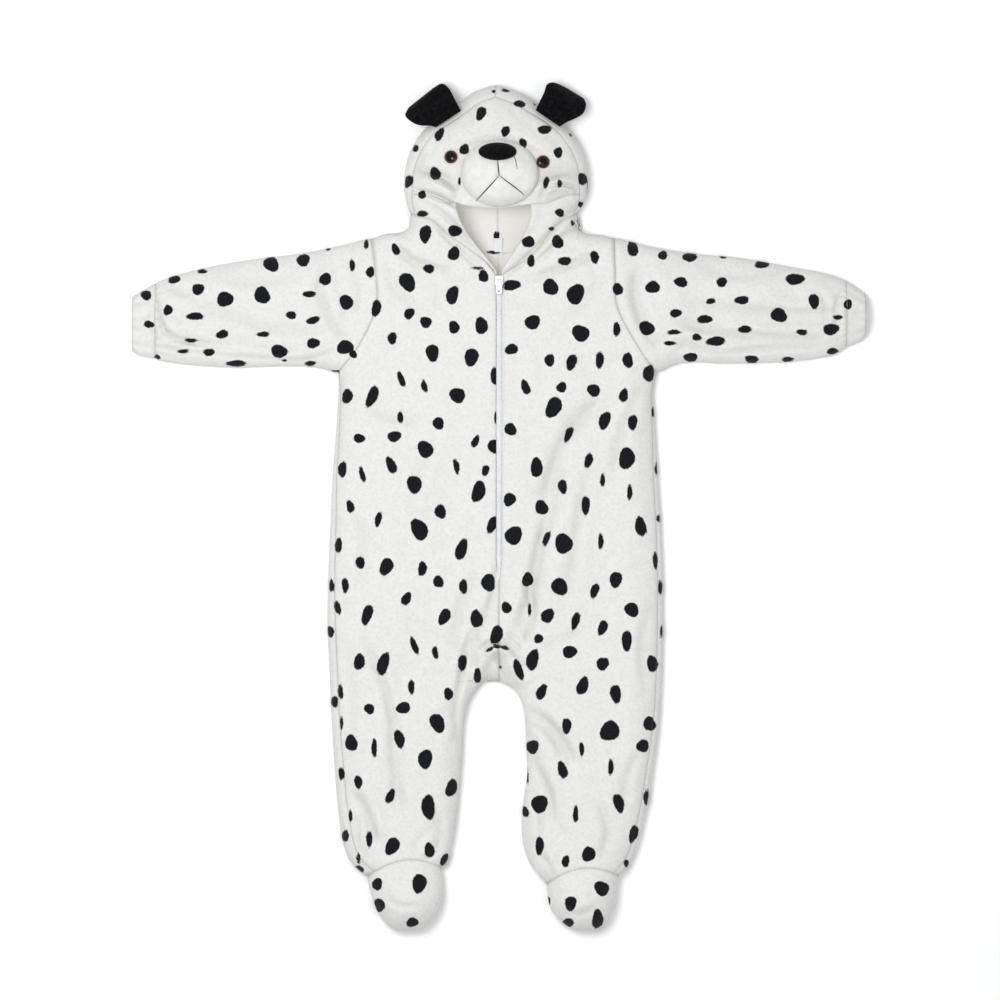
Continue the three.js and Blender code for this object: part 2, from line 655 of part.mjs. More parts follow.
for (const side of SIDES) {
  const last = bodyRows(side).at(-1);
  const seamShare = last.seam / rowWidth(last);
  const topShares = [0, seamShare / 2, ...FRONT_ACROSS.map((share) => lerp(seamShare, 1, share))];
  const underShares = backShares(last).slice(EDGE_COLUMN);
  const upper = footPatch(side, topShares.map((share) => rowPoint(last, share)));
  const sole = footPatch(side, underShares.map((share) => rowPoint(last, share)));
  addPiece("foot_upper_" + side, between(...cloth(upper.map((row) => row.map(topSkin)))), PLUSH);
  addPiece("sole_" + side, between(...cloth(sole.map((row) => row.map(underSkin)))), PLUSH);
}

// Hood sides: each row runs from the hood seam over the edge and along the surface to the centre back
const STRIP_SHARES = [1, 0.6, 0.25];

function hoodSideRows(side) {
  return HOOD_SEAM_STEPS.map((along) => {
    const edge = hoodSide[side](1 - along);
    const centre = backCentre(along);
    const inset = readTable(HOOD_SEAM_INSET, "along", "inset", along);
    const way = toward(edge, centre);
    const dip = (share) =>
      plus(backNeck(side, share), mix(shoulder[side](0), backCentre(0), share), -1).map(
        (value) => value * (1 - along) ** 3,
      );
    return [
      ...STRIP_SHARES.map((share) => skin(plus(edge, way, inset * share), true)),
      ...neckShares.map((share) => skin(plus(mix(edge, centre, share), dip(share)), false)),
    ];
  });
}

// The hem of the face panel: its two ends over the hood's front edges, and the free middle
function hemEnd(side) {
  const seam = hoodSeam(side, HOOD_SEAM_STEPS[HEM_ROW]);
  const inward = side === "left" ? 1 : -1;
  const first = plus(seam, [16 * inward, -2.5]);
  const second = plus(seam, [31 * inward, -8.5]);
  return steps(4).map(smooth([seam, first, second, hoodEdge[side](0)]));
}

const seamRow = (side, row) => hoodSeam(side, HOOD_SEAM_STEPS[row]);
const rowsBetween = (from, to) =>
  steps(Math.abs(to - from)).map((share) => Math.round(lerp(from, to, share)));

function facePlan() {
  const top = [
    ...rowsBetween(FACE_CORNER_ROW, HOOD_ROWS).map((row) => seamRow("left", row)),
    ...rowsBetween(HOOD_ROWS - 1, FACE_CORNER_ROW).map((row) => seamRow("right", row)),
  ];
  const hem = [...hemEnd("left"), ...HEM_MIDDLE.map(({ x, y }) => [x, y]), ...hemEnd("right").reverse()];
  const sideOf = (side) => rowsBetween(FACE_CORNER_ROW, HEM_ROW).map((row) => seamRow(side, row));
  return fillPatch(top, hem, sideOf("left"), sideOf("right"));
}

// The hood's front edge, from under the cheek down to the zip
function hoodEdgePlan(side) {
  const outer = [
    ...rowsBetween(HEM_ROW, 0).map((row) => seamRow(side, row)),
    ...rowsBetween(NECK_COLUMN + 2, FRONT_ACROSS.length - 1).map((column) => frontTop(side, column)),
  ];
  const outward = side === "left" ? -1 : 1;
  const clearOfZip = ([x, y], share) => [x + outward * ZIP_HALF * share ** 8, y];
  const neck = outer.map((point, k) => (k === outer.length - 1 ? clearOfZip(point, 1) : point));
  const inner = steps(outer.length - 1).map((t) => clearOfZip(hoodEdge[side](t), t));
  const end = steps(4).map((t) => mix(neck.at(-1), inner.at(-1), t));
  return fillPatch(hemEnd(side), end, neck, inner);
}

for (const side of SIDES) {
  addPiece("hood_side_" + side, between(...cloth(hoodSideRows(side))), PLUSH);
  addPiece("hood_edge_" + side, between(...cloth(hoodEdgePlan(side).map((row) => row.map(topSkin)))), PLUSH);
}
const face = cloth(facePlan().map((row) => row.map(topSkin)));
addPiece("hood_face", between(...face), PLUSH);

// The height of a grid's own facets at a plan point, so that trim lies on the cloth as it is built
function facetHeight(grid, x, y) {
  let highest = -Infinity;
  const test = (a, b, c) => {
    const whole = (b[0] - a[0]) * (c[1] - a[1]) - (c[0] - a[0]) * (b[1] - a[1]);
    const atB = ((x - a[0]) * (c[1] - a[1]) - (c[0] - a[0]) * (y - a[1])) / whole;
    const atC = ((b[0] - a[0]) * (y - a[1]) - (x - a[0]) * (b[1] - a[1])) / whole;
    if (Math.abs(whole) < 1e-6 || atB < 0 || atC < 0 || atB + atC > 1) return;
    highest = Math.max(highest, a[2] + atB * (b[2] - a[2]) + atC * (c[2] - a[2]));
  };
  for (let row = 0; row < grid.length - 1; row += 1)
    for (let column = 0; column < grid[0].length - 1; column += 1) {
      const [a, b] = [grid[row][column], grid[row][column + 1]];
      const [c, d] = [grid[row + 1][column], grid[row + 1][column + 1]];
      test(a, c, d);
      test(a, d, b);
    }
  return highest;
}

// A stuffed shape on the face: rings of points out from its middle, domed on top.
// The outline's half sizes change between its upper and its lower half.
const DOME_RINGS = [0.25, 0.55, 0.78, 0.93, 1];
function dome({ x, y, halfWidth, up, down, height, edge, points, lift, seat }) {
  const ring = (share, onTop) =>
    steps(points)
      .slice(0, points)
      .map((turn) => {
        const angle = 2 * Math.PI * turn;
        const reach = Math.sin(angle) > 0 ? up : down;
        const px = x + halfWidth * share * Math.cos(angle);
        const py = y + reach * share * Math.sin(angle);
        const crown = edge + (height - edge) * Math.sqrt(1 - share * share);
        return [px, py, seat(px, py) + lift + (onTop ? crown : 0)];
      });
  const outside = DOME_RINGS.map((share) => ring(share, true));
  const inside = DOME_RINGS.map((share) => ring(share, false));
  return { outside, geometry: dish(outside, inside) };
}

// A round solid between two sets of rings, each closed in the middle by a fan.
function dish(outside, inside) {
  const count = outside[0].length;
  const middle = (ring) =>
    ring.reduce((sum, point) => plus(sum, point), [0, 0, 0]).map((value) => value / count);
  const places = [...outside.flat(), ...inside.flat(), middle(outside[0]), middle(inside[0])];
  const half = outside.length * count;
  const index = [];
  const at = (ring, k, base) => base + ring * count + (k % count);
  for (let k = 0; k < count; k += 1) {
    for (let ring = 0; ring < outside.length - 1; ring += 1) {
      const [a, b] = [at(ring, k, 0), at(ring, k + 1, 0)];
      const [c, d] = [at(ring + 1, k, 0), at(ring + 1, k + 1, 0)];
      index.push(a, c, d, a, d, b);
      index.push(a + half, d + half, c + half, a + half, b + half, d + half);
    }
    const last = outside.length - 1;
    index.push(at(last, k, 0), at(last, k, half), at(last, k + 1, half));
    index.push(at(last, k, 0), at(last, k + 1, half), at(last, k + 1, 0));
    index.push(2 * half, at(0, k, 0), at(0, k + 1, 0));
    index.push(2 * half + 1, at(0, k + 1, half), at(0, k, half));
  }
  return facingOut(places.flat(), index);
}

// The closed surface of a trim's rings, as triangles in plan, for what sits on it
function domeSeat(outside) {
  const count = outside[0].length;
  const rows = outside.map((ring) => [...ring, ring[0]]);
  const middle = outside[0]
    .reduce((sum, point) => plus(sum, point), [0, 0, 0])
    .map((value) => value / count);
  return (x, y) => facetHeight([rows[0].map(() => middle), ...rows], x, y);
}

const onFace = (x, y) => facetHeight(face[0], x, y);
const MUZZLE_SIZE = { halfWidth: 38.5, up: 34, down: 32.5, height: 26, edge: 2.5 };
const MUZZLE = { x: 0.5, y: 333, ...MUZZLE_SIZE, points: 26, lift: 0.9 };
const NOSE_SIZE = { halfWidth: 19, up: 9, down: 9, height: 9, edge: 2 };
const NOSE = { x: -1.5, y: 355, ...NOSE_SIZE, points: 14, lift: 0.8 };
const EYE_RIM = { halfWidth: 6.6, up: 6.6, down: 6.6, height: 3, edge: 1.4, points: 10, lift: 0.5 };
const EYES = { left: [-48, 350], right: [44, 345] };

const muzzle = dome({ ...MUZZLE, seat: onFace });
addPiece("muzzle", muzzle.geometry, SMOOTH_PLUSH);
addPiece("nose", dome({ ...NOSE, seat: domeSeat(muzzle.outside) }).geometry, BLACK_PLUSH);
for (const side of SIDES) {
  const [x, y] = EYES[side];
  addPiece("eye_" + side, dome({ ...EYE_RIM, x, y, seat: onFace }).geometry, BLACK_GLOSS);
}

// Ears: stuffed flaps sewn at the hood seam, folded over and hanging outwards
const EAR_ROWS = {
  left: [
    { from: [-38, 396.5], to: [-63, 380], middle: 35, half: 3 },
    { from: [-41.5, 403], to: [-68.5, 381.5], middle: 31.6, half: 5 },
    { from: [-46.5, 413], to: [-79, 382], middle: 28, half: 7.5 },
    { from: [-50, 419], to: [-86.5, 385], middle: 24, half: 7.5 },
    { from: [-57, 424], to: [-91.5, 391], middle: 19, half: 6 },
    { from: [-66, 419], to: [-93.5, 396], middle: 14, half: 2.5 },
  ],
  right: [
    { from: [36.5, 397], to: [60.5, 380.5], middle: 35, half: 3 },
    { from: [40, 404.5], to: [66.5, 384.5], middle: 31.6, half: 5 },
    { from: [45, 415], to: [76.5, 389], middle: 28, half: 7.5 },
    { from: [48, 423], to: [84, 394], middle: 24, half: 7.5 },
    { from: [55, 425], to: [87, 402], middle: 19, half: 6 },
    { from: [68, 419.5], to: [85, 409], middle: 14, half: 2.5 },
  ],
};
const EAR_ACROSS = [0, 0.12, 0.32, 0.5, 0.68, 0.88, 1];
const EAR_RIM = 1.2;
function ear(rows) {
  const face3 = (sign) =>
    rows.map(({ from, to, middle, half }) =>
      EAR_ACROSS.map((share) => {
        const swell = EAR_RIM + (half - EAR_RIM) * Math.sqrt(Math.sin(Math.PI * share) + 1e-9);
        return [...mix(from, to, share), middle + sign * swell];
      }),
    );
  return between(face3(1), face3(-1));
}
for (const side of SIDES) addPiece("ear_" + side, ear(EAR_ROWS[side]), BLACK_PLUSH);

// The zip: a tape under each front's edge, the coil between them, the slider and its pull
const TAPE_REACH = 0.85; // of the last cell of a front's row
const TAPE_THICK = 0.8;
const COIL = { half: 2.3, thick: 1.7 };
const zipRows = (grid) => grid.filter((row) => row.at(-1)[1] < ZIP_TOP - 6 && row.at(-1)[1] > ZIP_END - 12);

function zipTape(side) {
  const [, inside] = frontGrids[side];
  const rows = zipRows(inside);
  const gap = side === "left" ? -HALF_GAP : HALF_GAP;
  const surface = (drop) =>
    rows.map((row) => {
      const edge = row.at(-1);
      const wing = mix(edge, row.at(-2), TAPE_REACH);
      const middle = [gap, edge[1], edge[2]];
      return [middle, edge, wing].map((point) => plus(point, [0, 0, -SEAM_GAP - drop]));
    });
  return between(surface(0), surface(TAPE_THICK));
}
for (const side of SIDES) addPiece("zip_tape_" + side, zipTape(side), WHITE_TAPE);

function zipCoil() {
  const rows = zipRows(frontGrids.left[1]);
  const others = zipRows(frontGrids.right[1]);
  const level = rows.map((row, k) => Math.max(row.at(-1)[2], others[k].at(-1)[2]));
  const surface = (rise) =>
    rows.map((row, k) =>
      [-COIL.half, 0, COIL.half].map((x) => [x, row.at(-1)[1], level[k] + rise + (x ? 0 : 0.25)]),
    );
  const flat = surface(0).map((row) => row.map(([x, y, z]) => [x, y, z - (x ? 0 : 0.25)]));
  return between(surface(COIL.thick), flat);
}
addPiece("zip_coil", zipCoil(), WHITE_TAPE);

// The slider with its bridge, and the pull tab that swings on the bridge's bar
const wasm = await Module();
wasm.setup();

function solidOf(geometry) {
  const plain = geometry.clone();
  plain.deleteAttribute("normal");
  plain.deleteAttribute("uv");
  const merged = mergeVertices(plain, 1e-4);
  const triVerts = new Uint32Array(merged.index.array);
  const mesh = new wasm.Mesh({ numProp: 3, vertProperties: merged.attributes.position.array, triVerts });
  return new wasm.Manifold(mesh);
}

function joined(first, ...others) {
  const whole = others.reduce((sum, geometry) => sum.add(solidOf(geometry)), solidOf(first));
  const { vertProperties, triVerts } = whole.getMesh();
  return facingOut([...vertProperties], [...triVerts]);
}

function roundedPlate(halfWidth, halfLength, thick, corner, hole) {
  const shape = new THREE.Shape();
  shape.moveTo(-halfWidth + corner, -halfLength);
  shape.lineTo(halfWidth - corner, -halfLength);
  shape.absarc(halfWidth - corner, -halfLength + corner, corner, -Math.PI / 2, 0);
  shape.absarc(halfWidth - corner, halfLength - corner, corner, 0, Math.PI / 2);
  shape.absarc(-halfWidth + corner, halfLength - corner, corner, Math.PI / 2, Math.PI);
  shape.absarc(-halfWidth + corner, -halfLength + corner, corner, Math.PI, 1.5 * Math.PI);
  if (hole) shape.holes.push(new THREE.Path().absarc(0, hole.y, hole.radius, 0, 2 * Math.PI, true));
  return new THREE.ExtrudeGeometry(shape, { depth: thick, bevelEnabled: false, curveSegments: 4 });
}

const SLIDER = { y: 227, halfWidth: 4.1, halfLength: 4.8, thick: 2.4, corner: 1.6 };
const HINGE = { y: 226.5, over: 2.4, bar: 0.8 };
const POST = { inner: 2.1, outer: 3.1, halfLength: 1 };
const PULL = { ring: 2, bore: 1.2, halfRing: 1.6, halfWidth: 3, start: 3.2, end: 13, thick: 1.4 };

const besideZip = SIDES.flatMap((side) =>
  [-1, 0, 1].map((k) => {
    const x = (side === "left" ? -1 : 1) * (SLIDER.halfWidth - 0.4);
    return facetHeight(frontGrids[side][0], x, SLIDER.y + k * (SLIDER.halfLength - 0.6));
  }),
);
const sliderFoot = Math.max(...besideZip.filter(Number.isFinite)) + SEAM_GAP;
const hingeZ = sliderFoot + SLIDER.thick + HINGE.over;

const sliderBody = roundedPlate(SLIDER.halfWidth, SLIDER.halfLength, SLIDER.thick, SLIDER.corner);
sliderBody.translate(0, SLIDER.y, sliderFoot);
const posts = [-1, 1].map((hand) => {
  const height = HINGE.over + HINGE.bar + SLIDER.thick / 2;
  const post = new THREE.BoxGeometry(POST.outer - POST.inner, 2 * POST.halfLength, height);
  const x = (hand * (POST.outer + POST.inner)) / 2;
  return post.translate(x, HINGE.y, hingeZ + HINGE.bar - height / 2);
});
const bar = new THREE.CylinderGeometry(HINGE.bar, HINGE.bar, POST.outer + POST.inner, 12);
bar.rotateZ(Math.PI / 2).translate(0, HINGE.y, hingeZ);
addPiece("zip_slider", joined(sliderBody, ...posts, bar), WHITE_PLASTIC);

const ringShape = new THREE.Shape().absarc(0, 0, PULL.ring, 0, 2 * Math.PI);
ringShape.holes.push(new THREE.Path().absarc(0, 0, PULL.bore, 0, 2 * Math.PI, true));
const ringAlongX = new THREE.ExtrudeGeometry(ringShape, {
  depth: 2 * PULL.halfRing,
  bevelEnabled: false,
  curveSegments: 8,
});
ringAlongX.translate(0, 0, -PULL.halfRing).rotateY(Math.PI / 2).translate(0, HINGE.y, hingeZ);
const neckLength = PULL.start + 1.5 - (PULL.ring + PULL.bore) / 2;
const neck = new THREE.BoxGeometry(2 * PULL.halfRing, neckLength, PULL.thick);
neck.translate(0, HINGE.y - (PULL.ring + PULL.bore) / 2 - neckLength / 2, hingeZ);
const tabHalf = (PULL.end - PULL.start) / 2;
const tab = roundedPlate(PULL.halfWidth, tabHalf, PULL.thick, 1.8, { y: -2.2, radius: 1.3 });
tab.translate(0, HINGE.y - PULL.start - tabHalf, hingeZ - PULL.thick / 2);
addPiece("zip_pull", joined(ringAlongX, neck, tab), WHITE_PLASTIC);

// The blank label inside the back of the hood
const LABEL = { x: -1, y: 262.7, halfWidth: 4.5, halfLength: 6.8, thick: 0.6 };
const label = roundedPlate(LABEL.halfWidth, LABEL.halfLength, LABEL.thick, 0.8);
addPiece("neck_label", label.translate(LABEL.x, LABEL.y, CLOTH + SEAM_GAP), WHITE_TAPE);

export default garment;
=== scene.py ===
import bpy
import numpy as np
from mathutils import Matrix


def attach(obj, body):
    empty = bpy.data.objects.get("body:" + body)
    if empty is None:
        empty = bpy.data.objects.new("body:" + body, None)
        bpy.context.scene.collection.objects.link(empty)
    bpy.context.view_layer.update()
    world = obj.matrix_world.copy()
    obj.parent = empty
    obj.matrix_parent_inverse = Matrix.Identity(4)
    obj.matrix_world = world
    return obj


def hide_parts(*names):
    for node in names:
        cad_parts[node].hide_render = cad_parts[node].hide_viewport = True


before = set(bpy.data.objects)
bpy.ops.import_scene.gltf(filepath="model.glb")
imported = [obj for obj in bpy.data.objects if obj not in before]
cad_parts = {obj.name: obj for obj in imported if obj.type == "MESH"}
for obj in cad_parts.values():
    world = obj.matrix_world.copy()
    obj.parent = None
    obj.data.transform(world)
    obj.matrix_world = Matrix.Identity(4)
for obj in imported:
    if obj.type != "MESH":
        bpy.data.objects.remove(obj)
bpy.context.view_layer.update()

# A toddler's hooded plush onesie with a dog's face on the hood, laid flat on its back.
# Tables and plan points are in millimetres in the row frame: +X to the right as seen from above,
# +Y towards the hood, +Z up from the floor. Meshes are made in metres.
MM = 0.001
WALL = 2.4  # the plush with its backing
EDGE_SHARE = 0.22  # of the loft, at which the two layers meet at the outline
BODY_ROUND = 34.0  # how far in from the outline the top layer rounds up
HOOD_ROUND = 60.0  # the same on the hood
ZIP_HALF = 2.7  # half of the gap between the fronts, in which the coil shows
ZIP_TOP = 232.0
ZIP_END = -50.0
CHEST_Y = 137.0  # at the zip, of the row that ends at the armhole's foot
CROTCH_Y = -173.0
ANKLE_Y = -368.5  # of the ankle seam's outer end
ANKLE_BOW = 13.0  # how far the ankle seam arches towards the knee
BACK_NECK_Y = 255.0
CROWN_CENTRE_Y = 395.0
SLEEVE_OVERRUN = 60.0  # how far the outline runs on past an open cuff
HEM_SHARE = 0.18  # of the way up the hood seam, where the face panel's hem leaves it
TOE_SHARE = 0.36  # of the way round the foot, where its side becomes the toe

# Each side's outline, from the crown down to the crotch. Columns: x, y.
HOOD_EDGE = {
    "left": [(-3.5, 423.5), (-26, 415), (-43, 402), (-58, 391), (-74, 379), (-86, 362), (-93, 343),
             (-95, 321), (-93, 307), (-89, 294)],
    "right": [(-3.5, 423.5), (20, 415), (41, 402), (57, 391), (69, 379), (81, 362), (88, 343),
              (88.5, 321), (86, 307), (79, 294)],
}
SHOULDER = {
    "left": [(-89, 294), (-90, 283), (-98, 276.5), (-113, 275), (-128, 270)],
    "right": [(79, 294), (76.5, 283), (86, 275.5), (101, 274), (116, 270.5)],
}
SLEEVE_TOP = {
    "left": [(-128, 270), (-160, 262), (-200, 254), (-246, 248.5), (-294, 240), (-328, 231), (-344, 225)],
    "right": [(116, 270.5), (150, 261.5), (196, 254), (240, 250), (288, 241.5), (328, 234), (348, 227)],
}
SLEEVE_BOTTOM = {
    "left": [(-161, 135), (-186, 141), (-222, 141.5), (-262, 140.5), (-304, 142.5), (-332, 146), (-344, 149)],
    "right": [(157, 135), (184, 145.5), (220, 144.5), (258, 145), (298, 147), (332, 153), (348, 161)],
}
CUFF_TOP = {
    "left": [(-344, 225), (-350.5, 220.5), (-359, 216), (-366.5, 211.5)],
    "right": [(348, 227), (353, 223), (360.5, 218), (366.5, 213.5)],
}
CUFF_BOTTOM = {
    "left": [(-344, 149), (-350.5, 150.5), (-359, 152), (-366.5, 156)],
    "right": [(348, 161), (353, 163.5), (360.5, 166.5), (366.5, 171)],
}
SIDE_EDGE = {
    "left": [(-161, 135), (-160.5, 118), (-163.5, 68), (-166.5, 31), (-168.5, -16), (-170.5, -64),
             (-171.5, -112), (-169.5, -160), (-167.5, -208), (-164.5, -256), (-160.5, -304),
             (-154.5, -340), (-147, -355), (-131.5, -368.5)],
    "right": [(157, 135), (154.5, 118), (156.5, 68), (158.5, 31), (161.5, -16), (163.5, -64),
              (163.5, -112), (163, -160), (160.5, -208), (154.5, -256), (146.5, -304),
              (137.5, -340), (130.5, -355), (120.5, -368.5)],
}
# How far in on the top the side seam stands. Columns: y, left, right.
SIDE_SEAM = np.array([
    (135, 0, 0), (118, 0.6, 0.6), (68, 2.4, 2), (31, 3.2, 3), (-16, 4.5, 3.5), (-64, 5.4, 4),
    (-112, 7, 4), (-160, 7, 4.5), (-208, 7, 4.5), (-256, 8, 5), (-304, 9, 5), (-340, 10, 5),
    (-355, 9, 5), (-368.5, 6, 5),
])
INSEAM = {
    "left": [(-1, -173), (-12, -171.5), (-22, -181), (-29.5, -194), (-34, -214), (-35.5, -240),
             (-38, -272), (-41, -304), (-45.5, -333), (-50.5, -352), (-56.5, -360)],
    "right": [(-1, -173), (11, -179), (17.5, -186), (22.5, -197.5), (25, -214), (26, -240),
              (27, -266), (22, -302), (22.5, -332), (30, -356), (47.5, -376)],
}
# Round the foot from the outer ankle over the toes to the inner ankle, without its two ends.
FOOT_EDGE = {
    "left": [(-131, -377), (-127, -390), (-122.5, -402), (-114.5, -413), (-105, -421), (-91, -422.3),
             (-77, -421), (-66, -413), (-59, -402), (-55.5, -390), (-54.5, -377)],
    "right": [(118.5, -377), (117, -390), (114, -402), (108, -413), (96.5, -421), (84, -422.3),
              (73.5, -421), (62, -413), (51.5, -402), (48, -390), (47, -377)],
}
ARMHOLE = {
    "left": [(-128, 270), (-123.5, 236), (-122.5, 203), (-139, 164), (-161, 135)],
    "right": [(116, 270.5), (116.5, 236), (118, 203), (136, 166), (157, 135)],
}
NECKLINE = {
    "left": [(-71, 289), (-49, 271), (-32, 259.5), (-16, 248), (0, 232)],
    "right": [(57, 281), (40, 261), (28, 249), (14, 240), (0, 232)],
}
HOOD_FRONT = {
    "left": [(-43.5, 304.5), (-39, 286), (-29, 269), (-14.5, 251.5), (0, 236)],
    "right": [(31.5, 302.5), (31, 289), (25, 272), (15, 256), (0, 236)],
}
HEM_MIDDLE = [(-34, 301.5), (-20, 299.5), (-6, 298.5), (8, 299), (20, 301)]
# How far in from the outline the seam over the hood runs. Columns: share of the way up, inset.
HOOD_INSET = np.array([(0, 4), (0.25, 8), (0.6, 10), (1, 12)])

# Folds, listed one by one. Columns: x and y of one end, x and y of the other, half width, height.
# A minus height is a trough and a plus height a ridge.
MAIN_FOLDS = np.array([
    (104, 112, 52, 20, 13, -4.5),
    (52, 20, 26, -128, 11, -4),
    (74, 60, 58, -70, 12, 3),
    (-98, 158, -40, 214, 12, -3),
    (-132, 20, -58, -22, 14, -2.6),
    (-97, -168, -101, -292, 12, -4),
    (-150, -280, -126, -334, 10, -4),
    (30, -190, 74, -256, 11, -4),
    (34, -252, 54, -322, 11, -4),
    (-84, 341, -44, 326, 8, -6),
    (42, 319, 86, 329, 9, 6),
    (-165, 256, -152, 206, 10, -3.5),
    (130, 262, 138, 204, 10, -3.5),
    (-339, 214, -320, 164, 8, 3),
    (-318, 164, -210, 158, 9, -3),
    (330, 190, 200, 186, 9, -3.5),
    (318, 168, 188, 162, 8, -3.5),
    (-20, -164, -2, -139, 6, 4),
    (-2, -139, 20, -172, 6, 4),
    (-26, -158, -84, -118, 9, -3),
    (26, -162, 78, -128, 9, -3),
    (-40, 292, -8, 246, 7, 3),
    (33, 292, 8, 246, 7, 3),
])

# Finer creases, in the same columns
CREASES = np.array([
    # right front
    (96, 100, 70, 84, 7, -2.2), (88, 60, 60, 20, 9, 1.8), (118, 40, 92, -30, 12, -1.6),
    (46, -40, 32, -120, 8, 1.8), (20, 150, 34, 96, 10, -1.2), (110, -60, 84, -140, 13, -1.4),
    (140, -10, 128, -90, 10, 1.2), (66, 176, 96, 130, 10, -1.5), (120, 150, 100, 118, 8, -1.6),
    (20, -60, 14, -130, 6, -1.3),
    # left front
    (-20, 160, -36, 90, 10, -1.2), (-110, 110, -70, 80, 12, -1.2), (-140, 70, -96, 50, 11, -1.6),
    (-60, 60, -84, 8, 12, 1.4), (-34, 20, -46, -70, 12, -1.4), (-120, -50, -70, -84, 12, -1.6),
    (-150, -90, -104, -120, 10, 1.3), (-92, 134, -64, 170, 8, -1.6), (-86, 226, -58, 196, 8, 1.6),
    (-18, -70, -30, -130, 7, 1.2),
    # pulled out from the crotch
    (-14, -150, -46, -112, 5, -1.8), (-10, -140, -22, -92, 5, 1.4), (14, -148, 40, -116, 5, -1.8),
    (8, -138, 18, -96, 5, 1.4), (-26, -172, -66, -168, 6, -1.6), (24, -180, 60, -176, 6, -1.8),
    (-30, -190, -72, -206, 6, 1.4), (28, -196, 62, -214, 6, 1.6),
    # legs
    (-60, -214, -72, -286, 8, -1.6), (-126, -190, -132, -250, 10, -1.5), (-84, -262, -78, -330, 8, 1.5),
    (-118, -296, -112, -346, 8, -1.6), (-62, -318, -84, -344, 6, -1.6), (-60, -340, -96, -358, 5, -1.5),
    (-136, -316, -112, -352, 6, 1.5), (100, -186, 118, -236, 10, -1.5), (84, -262, 96, -318, 9, 1.4),
    (120, -262, 112, -330, 9, -1.6), (66, -330, 92, -352, 6, -1.6), (44, -330, 52, -362, 6, 1.4),
    (40, -214, 46, -246, 6, 1.3), (96, -346, 116, -362, 5, -1.4),
    # feet
    (-118, -384, -100, -376, 6, -1.3), (-70, -380, -84, -374, 6, -1.3), (60, -386, 74, -380, 6, -1.3),
    (106, -390, 92, -382, 6, -1.4),
    # left sleeve
    (-158, 250, -170, 214, 8, -2), (-176, 240, -166, 184, 10, 1.5), (-226, 232, -210, 176, 14, -1.6),
    (-268, 224, -254, 182, 12, 1.4), (-300, 226, -286, 176, 12, -1.6), (-330, 220, -300, 210, 7, -1.8),
    (-336, 200, -296, 192, 7, -2), (-334, 180, -292, 172, 7, 1.8), (-322, 160, -270, 152, 6, 1.6),
    (-250, 162, -196, 156, 6, 1.3), (-168, 160, -152, 184, 8, -2), (-186, 150, -160, 150, 6, -1.4),
    # right sleeve
    (146, 246, 160, 210, 8, -2), (160, 230, 176, 186, 10, 1.5), (214, 236, 200, 204, 12, -1.4),
    (262, 226, 246, 200, 12, 1.3), (300, 222, 288, 204, 10, -1.4), (334, 214, 300, 208, 7, -1.8),
    (340, 198, 296, 199, 7, 1.8), (326, 178, 262, 176, 6, 2), (300, 158, 214, 152, 6, 1.8),
    (196, 174, 160, 176, 7, 1.6), (150, 160, 168, 170, 7, -2), (140, 182, 152, 214, 8, -1.6),
    # shoulders and under the hood
    (-104, 262, -70, 236, 7, -2.6), (-96, 268, -84, 262, 5, 1.6), (-66, 250, -40, 232, 8, 1.3),
    (72, 262, 96, 240, 8, -1.8), (96, 262, 84, 250, 6, 1.3), (46, 246, 70, 226, 9, 1.2),
    (-70, 280, -54, 274, 5, -1.6), (-33, 272, -17, 254, 4, -1.2), (28, 272, 16, 258, 4, -1.2),
    # hood
    (-78, 330, -52, 320, 5, 2.2), (-90, 318, -66, 306, 6, -1.8), (-80, 352, -60, 350, 6, -1.6),
    (44, 306, 72, 312, 5, -2.4), (46, 332, 76, 340, 6, -1.6), (66, 352, 84, 340, 6, 1.4),
    (-20, 402, -34, 388, 6, -1.3), (14, 400, 30, 384, 6, -1.3), (-4, 412, -6, 384, 8, -1),
    (-56, 372, -66, 358, 5, -1.4), (52, 370, 64, 354, 5, -1.4), (-44, 308, -30, 312, 4, -1.2),
])
FOLDS = np.vstack([MAIN_FOLDS, CREASES])

